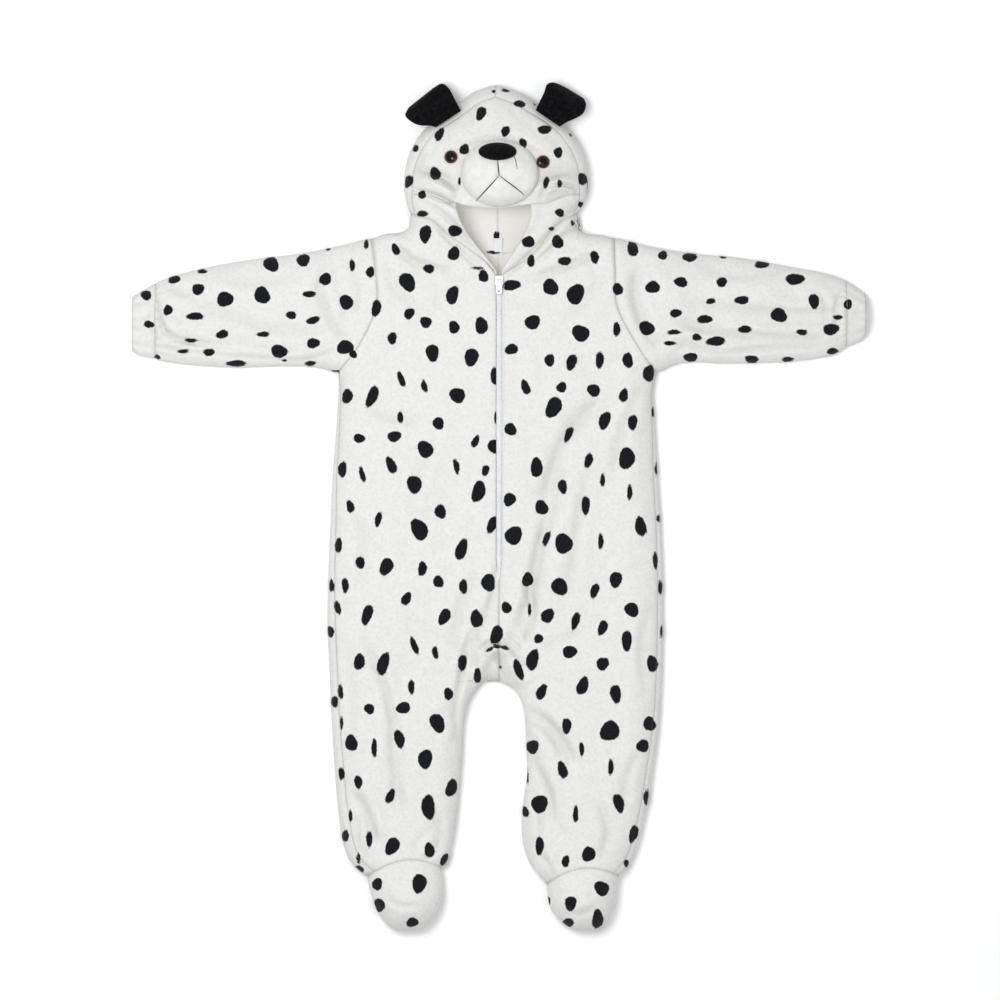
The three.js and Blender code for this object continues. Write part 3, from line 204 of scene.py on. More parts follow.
# Sharper creases that curve. Each has a half width, a height and the points that it runs through, which
# run right and down from the layout's top left corner as the print's do.
LAYOUT_CENTRE = (498.5, 507.5)
CURVED_CREASES = [
    # right front
    (6, -4.3, [(606, 396), (580, 420), (562, 442), (552, 470), (545, 505)]),
    (5, -4.3, [(553, 500), (541, 540), (533, 575), (526, 612), (523, 640)]),
    (6, -2.9, [(642, 384), (629, 412), (619, 440), (613, 482)]),
    (5, -2.3, [(652, 600), (641, 640), (645, 700)]),
    (6, -2.3, [(590, 470), (578, 520), (572, 570), (560, 620)]),
    # left front
    (5, -2.3, [(357, 398), (378, 412), (402, 420), (432, 416)]),
    (5, -2.2, [(436, 436), (420, 468), (409, 512)]),
    (3.5, -3.2, [(498, 562), (491, 600), (480, 640)]),
    (5, -2.9, [(474, 570), (459, 610), (450, 662)]),
    (6, -2.2, [(346, 500), (362, 540), (358, 590)]),
    # left leg
    (5, -4.1, [(361, 636), (381, 675), (390, 713), (394, 764), (400, 816)]),
    (4, -2.6, [(392, 703), (400, 739), (401, 774)]),
    (5, -4.1, [(352, 788), (367, 812), (375, 842)]),
    (4, -2.6, [(356, 812), (358, 838), (368, 860)]),
    (4, -2.9, [(464, 654), (455, 704), (458, 748)]),
    (6, -2, [(345, 640), (353, 700), (350, 778)]),
    (5, -2.3, [(432, 800), (440, 830), (430, 860)]),
    # crotch
    (3.2, -3.5, [(473, 626), (464, 654), (459, 702)]),
    (3, -3.5, [(484, 606), (474, 644), (471, 670)]),
    (3.5, -3.8, [(524, 575), (533, 612), (525, 646)]),
    (3, -2.9, [(507, 632), (520, 644), (523, 660)]),
    (4.6, 5.1, [(479, 671), (485, 656), (498, 648), (510, 655), (519, 677)]),
    (2.6, -3.9, [(472, 668), (481, 648), (497, 640), (513, 648), (525, 669)]),
    (2.2, -4.3, [(497, 657), (500, 668), (503, 678)]),
    # right leg
    (4, -4.3, [(527, 709), (549, 723), (564, 743), (572, 762)]),
    (3.5, -3.5, [(528, 722), (549, 733), (562, 754)]),
    (4, -4.3, [(529, 753), (542, 776), (550, 797), (552, 820)]),
    (4, -3.5, [(531, 788), (540, 812), (540, 842)]),
    (5, -2.9, [(636, 752), (626, 778), (624, 806)]),
    (5, -2.6, [(600, 800), (607, 830), (600, 862)]),
    (3.5, -2.6, [(535, 850), (547, 862), (552, 880)]),
    # feet
    (4, -2.2, [(384, 894), (400, 904), (421, 903)]),
    (4, -2.2, [(560, 908), (578, 913), (597, 905)]),
    # left sleeve and cuff
    (3.2, -4.3, [(156, 298), (159, 318), (169, 335), (192, 342), (232, 346)]),
    (2.6, -2.9, [(152, 347), (190, 352), (250, 357), (308, 359), (336, 351)]),
    (6, -2.9, [(180, 299), (230, 315), (280, 330), (330, 331)]),
    (5, -3.8, [(326, 261), (319, 290), (330, 320), (352, 344)]),
    (6, -2.2, [(205, 275), (250, 283), (302, 277)]),
    (4, -2.3, [(346, 262), (356, 290), (352, 312)]),
    (4, -2.3, [(166, 282), (180, 292), (196, 292)]),
    # right sleeve and cuff
    (5, -4.1, [(667, 318), (710, 330), (760, 335), (822, 339)]),
    (4, -3.5, [(671, 345), (720, 351), (780, 347), (836, 345)]),
    (5, -2.8, [(690, 300), (730, 308), (790, 312), (840, 311)]),
    (5, -3.8, [(640, 261), (634, 290), (645, 328), (661, 351)]),
    (3.4, -3.5, [(842, 288), (835, 310), (838, 336)]),
    (5, -2.2, [(700, 268), (740, 276), (786, 270)]),
    (4, -2.6, [(812, 288), (824, 302), (826, 322)]),
    # cheeks and brow
    (3.6, -5, [(411, 167), (426, 171), (446, 180), (458, 191)]),
    (2.1, -6.6, [(416, 190), (436, 196), (450, 203), (457, 208)]),
    (2.2, -6.6, [(541, 200), (543, 191), (551, 186), (563, 185), (574, 189), (578, 197)]),
    (3.6, -4.4, [(587, 184), (573, 177), (557, 176), (543, 181)]),
    (3, -2.9, [(454, 153), (469, 143), (497, 139), (525, 143), (540, 152)]),
    (5, -2.3, [(438, 124), (458, 112), (481, 104)]),
    (5, -2.3, [(520, 106), (545, 116), (562, 132)]),
    (4, -2.3, [(412, 142), (422, 156), (416, 170)]),
    (4.6, 6, [(415, 181), (436, 187), (456, 198)]),
    (4.2, 6.4, [(547, 193), (553, 183), (566, 178), (580, 182), (586, 192)]),
    # the rolled hem under the muzzle
    (2.4, 4, [(455, 204), (477, 208), (500, 209), (530, 205)]),
    # the hood's front edges and the neck seam
    (3.4, -3.8, [(416, 197), (436, 209), (452, 223), (467, 241), (486, 263)]),
    (3, -3.7, [(414, 212), (432, 223), (448, 239), (462, 253), (485, 273)]),
    (3.4, -3.8, [(584, 199), (570, 213), (555, 228), (540, 244), (521, 262), (507, 275)]),
    (3, -4.3, [(587, 215), (574, 228), (560, 239), (548, 251), (530, 267)]),
    # shoulders
    (3.5, -4.3, [(394, 243), (409, 258), (428, 266), (452, 272)]),
    (4, -3.8, [(602, 251), (576, 262), (550, 272), (527, 279)]),
    (7, -2.3, [(606, 270), (585, 300), (560, 322)]),
    (6, -2.3, [(384, 262), (398, 292), (424, 312)]),
]


def lerp(a, b, t):
    """a plus the share t of the way to b."""
    return a + (b - a) * t


def rising(value, start, end):
    """The smooth step 3t^2 - 2t^3 of t, which goes from 0 at start to 1 at end, either way round."""
    t = np.clip((value - start) / (end - start), 0, 1)
    return t * t * (3 - 2 * t)


def smooth(points):
    """A curve through the points, each at an equal step of its parameter: between two points runs the
    cubic with their end slopes, and each slope comes from the three points round it, weighted by the
    square root of their distances."""
    p = np.asarray(points, float)
    count = len(p)
    p = np.vstack([2 * p[0] - p[1], p, 2 * p[-1] - p[-2]])
    gaps = np.maximum(np.sqrt(np.linalg.norm(np.diff(p, axis=0), axis=1)), 1e-4)

    def at(t):
        place = np.clip(np.asarray(t, float), 0, 1) * (count - 1)
        k = np.minimum(place.astype(int), count - 2)
        s = (place - k)[..., None]
        x0, x1, x2, x3 = p[k], p[k + 1], p[k + 2], p[k + 3]
        d0, d1, d2 = (gaps[k + j][..., None] for j in range(3))
        slope1 = ((x1 - x0) / d0 - (x2 - x0) / (d0 + d1) + (x2 - x1) / d1) * d1
        slope2 = ((x2 - x1) / d1 - (x3 - x1) / (d1 + d2) + (x3 - x2) / d2) * d1
        square = -3 * x1 + 3 * x2 - 2 * slope1 - slope2
        cube = 2 * x1 - 2 * x2 + slope1 + slope2
        return x1 + slope1 * s + square * s**2 + cube * s**3

    return at


def walk(curve, count):
    """Points of a curve at count even steps of its parameter, with both its ends."""
    return curve(np.linspace(0, 1, count + 1))


SIDES = ("left", "right")
hood_side = {side: smooth(HOOD_EDGE[side]) for side in SIDES}
shoulder = {side: smooth(SHOULDER[side]) for side in SIDES}
sleeve_top = {side: smooth(SLEEVE_TOP[side]) for side in SIDES}
sleeve_bottom = {side: smooth(SLEEVE_BOTTOM[side]) for side in SIDES}
cuff_top = {side: smooth(CUFF_TOP[side]) for side in SIDES}
cuff_bottom = {side: smooth(CUFF_BOTTOM[side]) for side in SIDES}
side_edge = {side: smooth(SIDE_EDGE[side]) for side in SIDES}
inseam = {side: smooth(INSEAM[side]) for side in SIDES}
armhole = {side: smooth(ARMHOLE[side]) for side in SIDES}
hood_front = {side: smooth(HOOD_FRONT[side]) for side in SIDES}
foot_edge = {
    side: smooth([SIDE_EDGE[side][-1], *FOOT_EDGE[side], INSEAM[side][-1]]) for side in SIDES
}


def half_outline(side):
    """The points round one half, from the crown by the shoulder, sleeve, side and foot to the crotch.
    It runs on past the open cuff, so that the cuff's mouth stays tall."""
    away = np.array([-SLEEVE_OVERRUN if side == "left" else SLEEVE_OVERRUN, 0])
    return np.vstack([
        walk(hood_side[side], 36), walk(shoulder[side], 16), walk(sleeve_top[side], 20),
        walk(cuff_top[side], 6), CUFF_TOP[side][-1] + away, CUFF_BOTTOM[side][-1] + away,
        walk(cuff_bottom[side], 6)[::-1], walk(sleeve_bottom[side], 20)[::-1],
        walk(side_edge[side], 60), walk(foot_edge[side], 40), walk(inseam[side], 44)[::-1],
    ])


outline = np.vstack([half_outline("left"), half_outline("right")[::-1]])
outline = outline[np.linalg.norm(np.roll(outline, -1, axis=0) - outline, axis=1) > 0.02]
edge_run = np.roll(outline, -1, axis=0) - outline
edge_length = np.linalg.norm(edge_run, axis=1)
edge_along = edge_run / edge_length[:, None]


def nearest_edge(flat):
    """For each plan point, its distance from the outline and the direction straight in from there:
    the shortest of the distances to all the outline's straight runs, in batches to spare memory.
    A point just outside a straight run counts as on it."""
    distance = np.empty(len(flat))
    inward = np.empty((len(flat), 2))
    for start in range(0, len(flat), 6000):
        part = flat[start:start + 6000]
        offset = part[:, None, :] - outline[None, :, :]
        reach = np.clip(np.einsum("mek,ek->me", offset, edge_along), 0, edge_length)
        offset -= reach[..., None] * edge_along[None]
        squares = np.einsum("mek,mek->me", offset, offset)
        best = squares.argmin(axis=1)
        row = np.arange(len(part))
        far = np.sqrt(squares[row, best])
        straight = np.stack([-edge_along[best, 1], edge_along[best, 0]], axis=1)
        off = offset[row, best] / np.maximum(far, 1e-9)[:, None]
        inside = np.einsum("mk,mk->m", off, straight) > 0
        distance[start:start + 6000] = np.where(inside, far, 0)
        inward[start:start + 6000] = np.where((inside & (far > 0.05))[:, None], off, straight)
    return distance, inward


def loft_at(x, y):
    """Height of the top layer over the floor, in plain steps: body, hood, legs, feet, arms and cuffs."""
    arm = rising(y, 100, 130)
    return (
        30 + 24 * rising(y, 240, 325) + 3 * rising(y, -170, -230) + 11 * rising(y, -345, -395)
        - 5 * arm * rising(np.abs(x), 150, 250) - 3 * arm * rising(np.abs(x), 325, 362)
    )


def folds_at(x, y, folds):
    """Sum of the folds: each is height times a bell of the distance across its line over its width,
    times a bell of how far past its ends the point lies over 1.4 widths. The line of a finer crease
    bows sideways by a tenth of its length, so that none is ruled straight."""
    total = np.zeros_like(x)
    for k, (x0, y0, x1, y1, width, height) in enumerate(folds):
        length = np.hypot(x1 - x0, y1 - y0)
        ax, ay = (x1 - x0) / length, (y1 - y0) / length
        along = (x - x0) * ax + (y - y0) * ay
        across = (x - x0) * ay - (y - y0) * ax
        if k >= len(MAIN_FOLDS):
            across = across + 0.1 * length * np.sin(np.pi * along / length) * (-1) ** k
        past = np.maximum(0, np.maximum(-along, along - length))
        total += height * np.exp(-((across / width) ** 2) - (past / (1.4 * width)) ** 2)
    return total


def curved_creases_at(x, y):
    """Sum of the curved creases. Of the signed distance d to a crease's curve over its width, each adds
    its height times exp(-d^2) less 0.45 times a wider bell on one side, where the cloth rolls up, and
    it dies away towards both ends as the root of a sine."""
    total = np.zeros_like(x)
    for k, (width, height, points) in enumerate(CURVED_CREASES):
        line = (np.array(points, float) - LAYOUT_CENTRE) * [1, -1]
        path = smooth(line)(np.linspace(0, 1, 33))
        low, high = path.min(axis=0) - 5 * width, path.max(axis=0) + 5 * width
        near = np.flatnonzero((x > low[0]) & (x < high[0]) & (y > low[1]) & (y < high[1]))
        if len(near) == 0:
            continue
        offset = np.stack([x[near], y[near]], axis=1)[:, None] - path[None, :-1]
        run = np.diff(path, axis=0)
        reach = np.clip(np.einsum("mek,ek->me", offset, run) / (run**2).sum(axis=1), 0, 1)
        off = offset - reach[..., None] * run
        squares = (off**2).sum(axis=2)
        best = squares.argmin(axis=1)
        row = np.arange(len(near))
        hand = run[best, 0] * off[row, best, 1] - run[best, 1] * off[row, best, 0]
        d = np.sqrt(squares[row, best]) * np.sign(hand) * (-1) ** k / width
        fade = np.sqrt(np.sin(np.pi * np.clip((best + reach[row, best]) / 32, 0.002, 0.998)))
        bell = np.exp(-(d**2)) - 0.45 * np.exp(-(((d - 1.9) / 1.2) ** 2))
        total[near] += height * fade * bell
    return total


def ground(x, y):
    """Height of the top layer with its main folds: the form that the cloth's directions follow."""
    return folds_at(x, y, MAIN_FOLDS) + loft_at(x, y)


def skin(plan, on_top, relief=0.0):
    """Points of the garment's outside over plan points, and the directions out of it. Both layers meet
    at the outline at a share of the loft. The top rounds up from there as a quarter of an ellipse, and
    the underside rounds down to lie flat. Folds and relief are scaled down towards the outline."""
    shape = plan.shape[:-1]
    flat = plan.reshape(-1, 2)
    top = np.broadcast_to(on_top, shape).reshape(-1)
    x, y = flat[:, 0], flat[:, 1]
    distance, inward = nearest_edge(flat)
    loft = loft_at(x, y)
    low = loft * EDGE_SHARE
    turn = np.where(top, lerp(BODY_ROUND, HOOD_ROUND, rising(y, 270, 330)), low)
    cosine = 1 - np.minimum(distance / turn, 1)
    sine = np.sqrt(1 - cosine**2)
    slope_x = (ground(x + 1, y) - ground(x - 1, y)) / 2
    slope_y = (ground(x, y + 1) - ground(x, y - 1)) / 2
    fold = folds_at(x, y, FOLDS) + curved_creases_at(x, y)
    rise = loft - low
    up = np.stack([
        -inward[:, 0] * rise * cosine - slope_x * turn * sine,
        -inward[:, 1] * rise * cosine - slope_y * turn * sine,
        turn * sine + 1e-6,
    ], axis=1)
    down = np.stack([-inward[:, 0] * cosine, -inward[:, 1] * cosine, -sine - 1e-6], axis=1)
    normal = np.where(top[:, None], up, down)
    normal /= np.linalg.norm(normal, axis=1)[:, None]
    extra = np.broadcast_to(relief, shape).reshape(-1)
    pressed = np.maximum(0.5 + 0.35 * (fold + extra), 0) * sine
    z = np.where(top, low + (rise + fold + extra) * sine, low * (1 - sine) + pressed)
    point = np.column_stack([x, y, z])
    return point.reshape(*shape, 3), normal.reshape(*shape, 3)


def lumps(x, y):
    """The soft unevenness of plush laid flat: a sum of slow waves of unlike lengths and directions."""
    return (
        0.34 * np.sin(x / 9.1 + y / 13.7 + 0.4) * np.sin(y / 10.3 - x / 21.0 + 1.1)
        + 0.26 * np.sin(x / 5.3 - y / 7.9 + 2.0) * np.sin(y / 6.1 + x / 11.9)
        + 0.5 * np.sin(x / 23.0 + 0.7) * np.sin(y / 29.0 + x / 51.0 + 2.2)
    )


# The print, charted spot by spot. Columns: x and y of a spot's middle, its width, its height and how far
# its top leans to the right, in degrees. x and y run right and down from the layout's top left corner.
SPOTS = np.array([
    # left chest
    (425, 234, 12, 18, 0), (454.5, 231, 13, 12, 0), (395.3, 249.3, 8, 12, -20), (453.4, 253.6, 12, 14, 0),
    (428.5, 268.7, 11, 9.5, 0), (407, 282, 16, 19, -25), (477, 268, 14, 3, 0), (483, 276, 9.5, 13, 0),
    (452, 295, 13, 18, 20), (409, 313.4, 10, 12, 20), (425.5, 322, 11, 12, 0), (453.6, 327, 11.5, 12.5, 0),
    (481, 325.4, 13, 17, -20), (392, 338, 9, 13, 20), (432, 352.6, 14, 16.5, 0), (471, 357, 14, 18, 0),
    (494.5, 375.6, 9, 17, 0),
    # left body
    (401, 379, 7, 16, -20), (424, 386, 6, 13, -20), (457, 395, 15, 16, 0), (372, 396, 11, 22, 25),
    (347, 396, 11, 15, 0), (400, 417, 6, 13, 0), (438, 423, 12, 12, 0), (394, 436, 14, 11, 0),
    (359, 438, 11, 10, 0), (425, 449, 16, 17, -25), (475, 441, 7, 14, 20), (493, 446, 11, 15, 0),
    (485, 470, 8, 11, 20), (456, 466, 6, 16, -15), (391, 465, 9, 19, -20), (362, 474, 6, 16, -15),
    (342, 469, 9, 16, 0), (414, 484, 14, 19, 0), (478, 491, 14, 21, 20), (350, 506, 8, 13, -20),
    (440, 511, 11, 15, 0), (378, 519, 7, 15, 15), (492, 524, 10, 19, 20), (419, 529, 15, 24, -20),
    (461, 549, 12, 21, 20), (338, 545, 8, 16, 0), (360, 562, 9, 13, 0), (386, 566, 14, 17, 25),
    (422, 568, 9, 15, 0), (438, 581, 10, 13, 0), (463, 586, 9, 14, 0), (488, 582, 14, 18, -20),
    (345, 585, 7, 16, 0), (331, 585, 5, 12, 0), (406, 598, 9, 15, 20), (337, 607, 7, 15, -15),
    (367, 614, 11, 20, 20), (444, 616, 11, 18, 20), (476, 618, 12, 19, 0), (414, 645, 7, 18, -20),
    (435, 652, 6, 14, -15), (330, 631, 7, 12, 0), (496, 634, 13, 18, 20),
    # left leg and foot
    (359, 661, 11, 17, 0), (383, 663, 11, 25, 20), (411, 686, 7, 14, 0), (462, 662, 9, 17, 0),
    (448, 693, 9, 13, 0), (477, 675, 8, 15, 0), (403, 707, 14, 12, 0), (369, 708, 10, 11, 0),
    (437, 722, 15, 19, -25), (399, 738, 10, 19, -20), (351, 742, 12, 17, 0), (374, 747, 6, 18, 0),
    (425, 758, 14, 20, 0), (358, 781, 8, 14, 0), (451, 787, 12, 17, 20), (390, 795, 8, 16, 20),
    (428, 806, 13, 26, 0), (369, 838, 7, 15, 0), (392, 845, 13, 19, 20), (429, 849, 10, 16, 0),
    (444, 859, 8, 13, 20), (377, 883, 10, 13, 0), (419, 882, 14, 20, 20), (379, 904, 12, 13, 0),
    (412, 921, 12, 10, 0), (340, 691, 6, 16, 0), (334, 701, 7, 11, 0), (341, 722, 4, 15, 0),
    (341, 773, 6, 13, 0), (350, 815, 5, 12, 0), (345, 835, 7, 13, 0), (358, 858, 4, 12, 0),
    (359, 869, 10, 9, 0),
    # right body
    (511, 285, 18, 11, 0), (550, 287, 15, 17, 0), (575, 294, 18, 20, 25), (532, 322, 15, 15, 0),
    (580, 333, 17, 17, 0), (616, 329, 8, 14, 0), (511, 349, 13, 11, 0), (549, 360, 10, 13, 20),
    (571, 362, 11, 16, 20), (599, 360, 8, 18, 0), (495, 376, 8, 18, 0), (525, 387, 9, 15, -20),
    (561, 387, 10, 11, 0), (593, 390, 13, 13, 0), (553, 407, 16, 21, 25), (496, 417, 5, 14, 0),
    (510, 429, 12, 13, 0), (604, 420, 12, 18, 20), (568, 434, 7, 18, 20), (588, 460, 8, 16, 20),
    (536, 467, 13, 19, 0), (602, 480, 5, 14, 0), (562, 486, 9, 15, 0), (585, 505, 9, 18, 0),
    (509, 499, 12, 14, 0), (541, 507, 13, 15, 0), (513, 535, 18, 18, 25), (546, 538, 6, 17, 20),
    (563, 543, 18, 20, 25), (600, 541, 6, 15, 0), (527, 579, 11, 15, 0), (559, 586, 16, 18, 0),
    (594, 590, 9, 15, 20), (615, 579, 12, 17, 0), (506, 607, 10, 12, 0), (529, 609, 4, 13, 0),
    (547, 615, 12, 16, 20), (575, 620, 8, 19, 20), (602, 627, 10, 15, 20), (538, 638, 9, 10, 0),
    (623, 395, 9, 14, 20), (648, 375, 12, 11, 0), (632, 422, 9, 17, 0), (626, 458, 16, 22, 20),
    (629, 492, 6, 15, 0), (640, 526, 11, 21, -15), (631, 609, 14, 15, 0), (626, 640, 11, 20, 0),
    (569, 651, 14, 13, 0), (653, 412, 2.5, 9, 0), (656, 468, 3, 12, 0), (658, 518, 3, 8, 0),
    (655, 560, 6, 18, 0), (660, 587, 4, 14, 0), (661, 631, 3, 13, 0),
    # right leg and foot
    (532, 659, 12, 22, 20), (518, 669, 9, 21, -20), (602, 663, 12, 14, 0), (652, 663, 12, 17, 0),
    (582, 685, 12, 18, 20), (541, 691, 9, 18, 20), (615, 693, 11, 19, 0), (566, 725, 10, 15, 0),
    (609, 730, 18, 22, 25), (649, 723, 13, 15, 0), (642, 745, 14, 12, 0), (532, 746, 12, 15, 0),
    (581, 748, 5, 15, 0), (610, 766, 6, 16, 0), (562, 769, 9, 19, -20), (527, 776, 2.5, 15, 0),
    (539, 803, 18, 17, 0), (618, 802, 10, 21, -20), (525, 811, 7, 11, 0), (575, 813, 6, 16, 0),
    (646, 797, 5, 17, 0), (633, 833, 9, 19, 20), (539, 845, 9, 18, 0), (588, 853, 13, 16, 0),
    (565, 860, 8, 12, 20), (626, 863, 5, 8, 0), (570, 902, 11, 16, 0), (601, 887, 14, 16, -20),
    (597, 918, 12, 19, 0), (567, 922, 12, 10, -15), (548, 900, 4, 9, 0),
    # hood
    (480.5, 114, 10, 14, 20), (508, 89, 14, 6, -10), (519, 104, 12, 7, 0), (439, 134.5, 9, 14, 20),
    (505, 132, 8, 12, 20), (544, 130, 14, 9, -14), (522.5, 144, 8, 10, -20), (464, 150, 9, 12, 20),
    (557.5, 153, 9, 11, 20), (415, 148.5, 7, 7, 0), (408, 181.5, 8, 14, 20), (435, 174, 11, 13, 0),
    (459, 182, 3, 8, 0), (421.5, 195, 8, 9, 0), (545.5, 183, 6, 12, 20), (559, 184, 5, 8, 0),
    (582, 179, 9, 13, -15), (581, 205, 6, 6, 0), (571, 134, 5, 6, 0), (493, 91, 4, 4, 0),
    (534.5, 103, 5, 5, 0),
    # front edges of the hood
    (422, 214, 12, 6, 0), (528, 242, 12, 12, 0), (559, 213, 9, 8, 0), (551, 229, 6, 4, 0),
    (572, 223, 4, 6, 0),
    # right shoulder
    (557, 242, 12, 13, 0), (530.5, 261, 8, 12, 0), (564, 261, 13, 9, 0), (594, 257, 9, 13, 0),
    # left sleeve
    (174, 279, 13, 8, 0), (202, 271, 9, 5, 0), (271, 264, 16, 15, 0), (303, 260, 14, 12, 0),
    (328, 249, 5, 3, 0), (352, 265, 6, 12, 0), (366, 244, 5, 10, 0), (370, 272, 8, 12, 0),
    (146, 295, 11, 10, 0), (198, 289, 13, 11, 0), (225, 299, 16, 16, 0), (262, 295, 16, 17, 0),
    (325, 279, 13, 12, 0), (309, 294, 13, 7, 0), (346, 302, 14, 15, 0), (168, 310, 10, 10, 0),
    (195, 316, 17, 8, 0), (291, 315, 11, 8, 0), (313, 320, 15, 7, -15), (376, 308, 9, 19, 10),
    (149, 324, 11, 7, 0), (222, 334, 14, 8, -10), (263, 334, 13, 6, 0), (191, 340, 13, 4, 0),
    (313, 343, 14, 10, 0), (345, 347, 16, 15, 0), (353, 354, 8, 8, 0), (183, 351, 12, 4, 0),
    (209, 352, 11, 8, 0), (279, 351, 17, 13, 0), (157, 357, 7, 5, 0), (236, 363, 19, 7, 0),
    (284, 360, 6, 2.5, 0), (310, 363, 12, 5, 0), (334, 372, 9, 5, 0),
    # right sleeve
    (632, 248, 11, 17, 0), (662, 255, 10, 9, 0), (689, 257, 14, 10, 0), (722, 257, 7, 3, 0),
    (761, 264, 15, 8, 0), (652, 287, 14, 13, 0), (680, 282, 14, 10, 0), (721, 282, 11, 10, 0),
    (794, 279, 18, 12, 0), (617, 289, 11, 12, 0), (710, 301, 10, 6, 0), (741, 300, 14, 9, 0),
    (813, 301, 11, 15, 0), (675, 313, 13, 8, 0), (704, 319, 15, 9, 0), (778, 315, 17, 14, 0),
    (847, 304, 9, 10, 0), (837, 317, 9, 5, 0), (646, 328, 16, 14, 0), (673, 332, 15, 5, 0),
    (744, 329, 13, 8, 0), (801, 332, 12, 6, 0), (830, 329, 17, 11, 0), (669, 343, 12, 5, 0),
    (696, 337, 10, 7, 0), (715, 341, 20, 9, 0), (690, 357, 13, 10, 0), (751, 359, 14, 8, 0),
    (787, 359, 12, 5, 0), (832, 351, 12, 7, 0), (627, 360, 11, 15, 0), (648, 373, 12, 16, 0),
    # at the crotch
    (489.5, 648.5, 9, 4, -28), (497, 645.5, 10, 4.4, -4), (504.5, 647, 9, 4, 20), (499.6, 667, 3, 4, 0),
])
INSIDE_SPOTS = np.array([(496, 236, 6, 12, 0), (493, 252, 12, 3.5, 0)])  # seen through the neck
PRINT_REPEAT = 272.0  # how far below the hood's back the chest's print lies, which it takes
SPOT_REACH = 26.0  # past which a spot isn't measured
NO_SPOT = 30.0  # the distance given where no spot is near


def print_at(x, y, spots=SPOTS):
    """Distance in millimetres to the nearest spot's edge, minus inside. Each spot is an ellipse turned
    by its lean, whose rim slow waves push in and out by up to an eighth, unlike for each spot."""
    flat_x, flat_y = x.reshape(-1), y.reshape(-1)
    nearest = np.full(flat_x.shape, NO_SPOT)
    for k, (px, py, width, height, lean) in enumerate(spots):
        sx, sy = px - LAYOUT_CENTRE[0], LAYOUT_CENTRE[1] - py
        near = np.flatnonzero((np.abs(flat_x - sx) < SPOT_REACH) & (np.abs(flat_y - sy) < SPOT_REACH))
        if len(near) == 0:
            continue
        dx, dy = flat_x[near] - sx, flat_y[near] - sy
        turn = np.radians(lean)
        across = (dx * np.cos(turn) - dy * np.sin(turn)) / (width / 2)
        along = (dx * np.sin(turn) + dy * np.cos(turn)) / (height / 2)
        angle = np.arctan2(along, across)
        rim = 1 + 0.07 * np.sin(2 * angle + 2.1 * k) + 0.06 * np.sin(3 * angle + 1.3 * k)
        reach = np.hypot(across, along)
        gap = (reach / rim - 1) * min(width, height) / 2
        nearest[near] = np.minimum(nearest[near], gap)
    return nearest.reshape(x.shape)


def quads(index):
    """The four corners of each cell of a grid of vertex numbers, in one turning sense."""
    cells = [index[:-1, :-1], index[1:, :-1], index[1:, 1:], index[:-1, 1:]]
    return np.stack(cells, axis=-1).reshape(-1, 4)


def rim_quads(line, under):
    """Cells that close a shell along a line of outer vertices, whose inner ones are under further on."""
    return np.stack([line[:-1], line[1:], line[1:] + under, line[:-1] + under], axis=1)


def add_mesh(name, points, faces, values):
    """An object from vertices in millimetres, faces and named values at the vertices. The faces are
    turned out: the sum of the volumes that they span with the origin has to be above zero."""
    a, b, c = (points[faces[:, k]] for k in (0, 1, 2))
    d = points[faces[:, 3]]
    volume = np.einsum("mk,mk->", a, np.cross(b, c)) + np.einsum("mk,mk->", a, np.cross(c, d))
    if volume < 0:
        faces = faces[:, ::-1]
    mesh = bpy.data.meshes.new(name)
    mesh.from_pydata((points * MM).tolist(), [], faces.tolist())
    for key, value in values.items():
        layer = mesh.attributes.new(key, "FLOAT", "POINT")
        layer.data.foreach_set("value", np.ascontiguousarray(value, dtype=np.float32))
    mesh.shade_smooth()
    obj = bpy.data.objects.new(name, mesh)
    bpy.context.scene.collection.objects.link(obj)
    return obj


def shell_faces(rows, columns, ring):
    """Faces of a thin closed shell: an outer grid, an inner grid after it, and the rims between them.
    A ring's columns close on themselves, so only its two ends have rims."""
    index = np.arange(rows * columns).reshape(rows, columns)
    if ring:
        index = np.concatenate([index, index[:, :1]], axis=1)
    under = rows * columns
    outer = quads(index)
    parts = [outer, outer[:, ::-1] + under, rim_quads(index[0], under), rim_quads(index[-1][::-1], under)]
    if not ring:
        parts += [rim_quads(index[::-1, 0], under), rim_quads(index[:, -1], under)]
    return np.vstack(parts)


def stacked(x, y, heights):
    """Vertices over the same plan points at each of the heights, one layer after the other."""
    return np.vstack([np.stack(np.broadcast_arrays(x, y, z), axis=-1).reshape(-1, 3) for z in heights])


def finish_piece(obj, material, node):
    """Gives a piece its material and its body, and hides the part's node that it stands for."""
    obj.data.materials.append(materials[material])
    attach(obj, "garment")
    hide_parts(node)


def from_border(points, ring):
    """Distance in millimetres from the grid's border, measured along its rows and its columns."""
    down = np.linalg.norm(np.diff(points, axis=0), axis=2)
    down = np.vstack([np.zeros((1, points.shape[1])), np.cumsum(down, axis=0)])
    nearest = np.minimum(down, down[-1] - down)
    if not ring:
        over = np.linalg.norm(np.diff(points, axis=1), axis=2)
        over = np.hstack([np.zeros((points.shape[0], 1)), np.cumsum(over, axis=1)])
        nearest = np.minimum(nearest, np.minimum(over, over[:, -1:] - over))
    return nearest


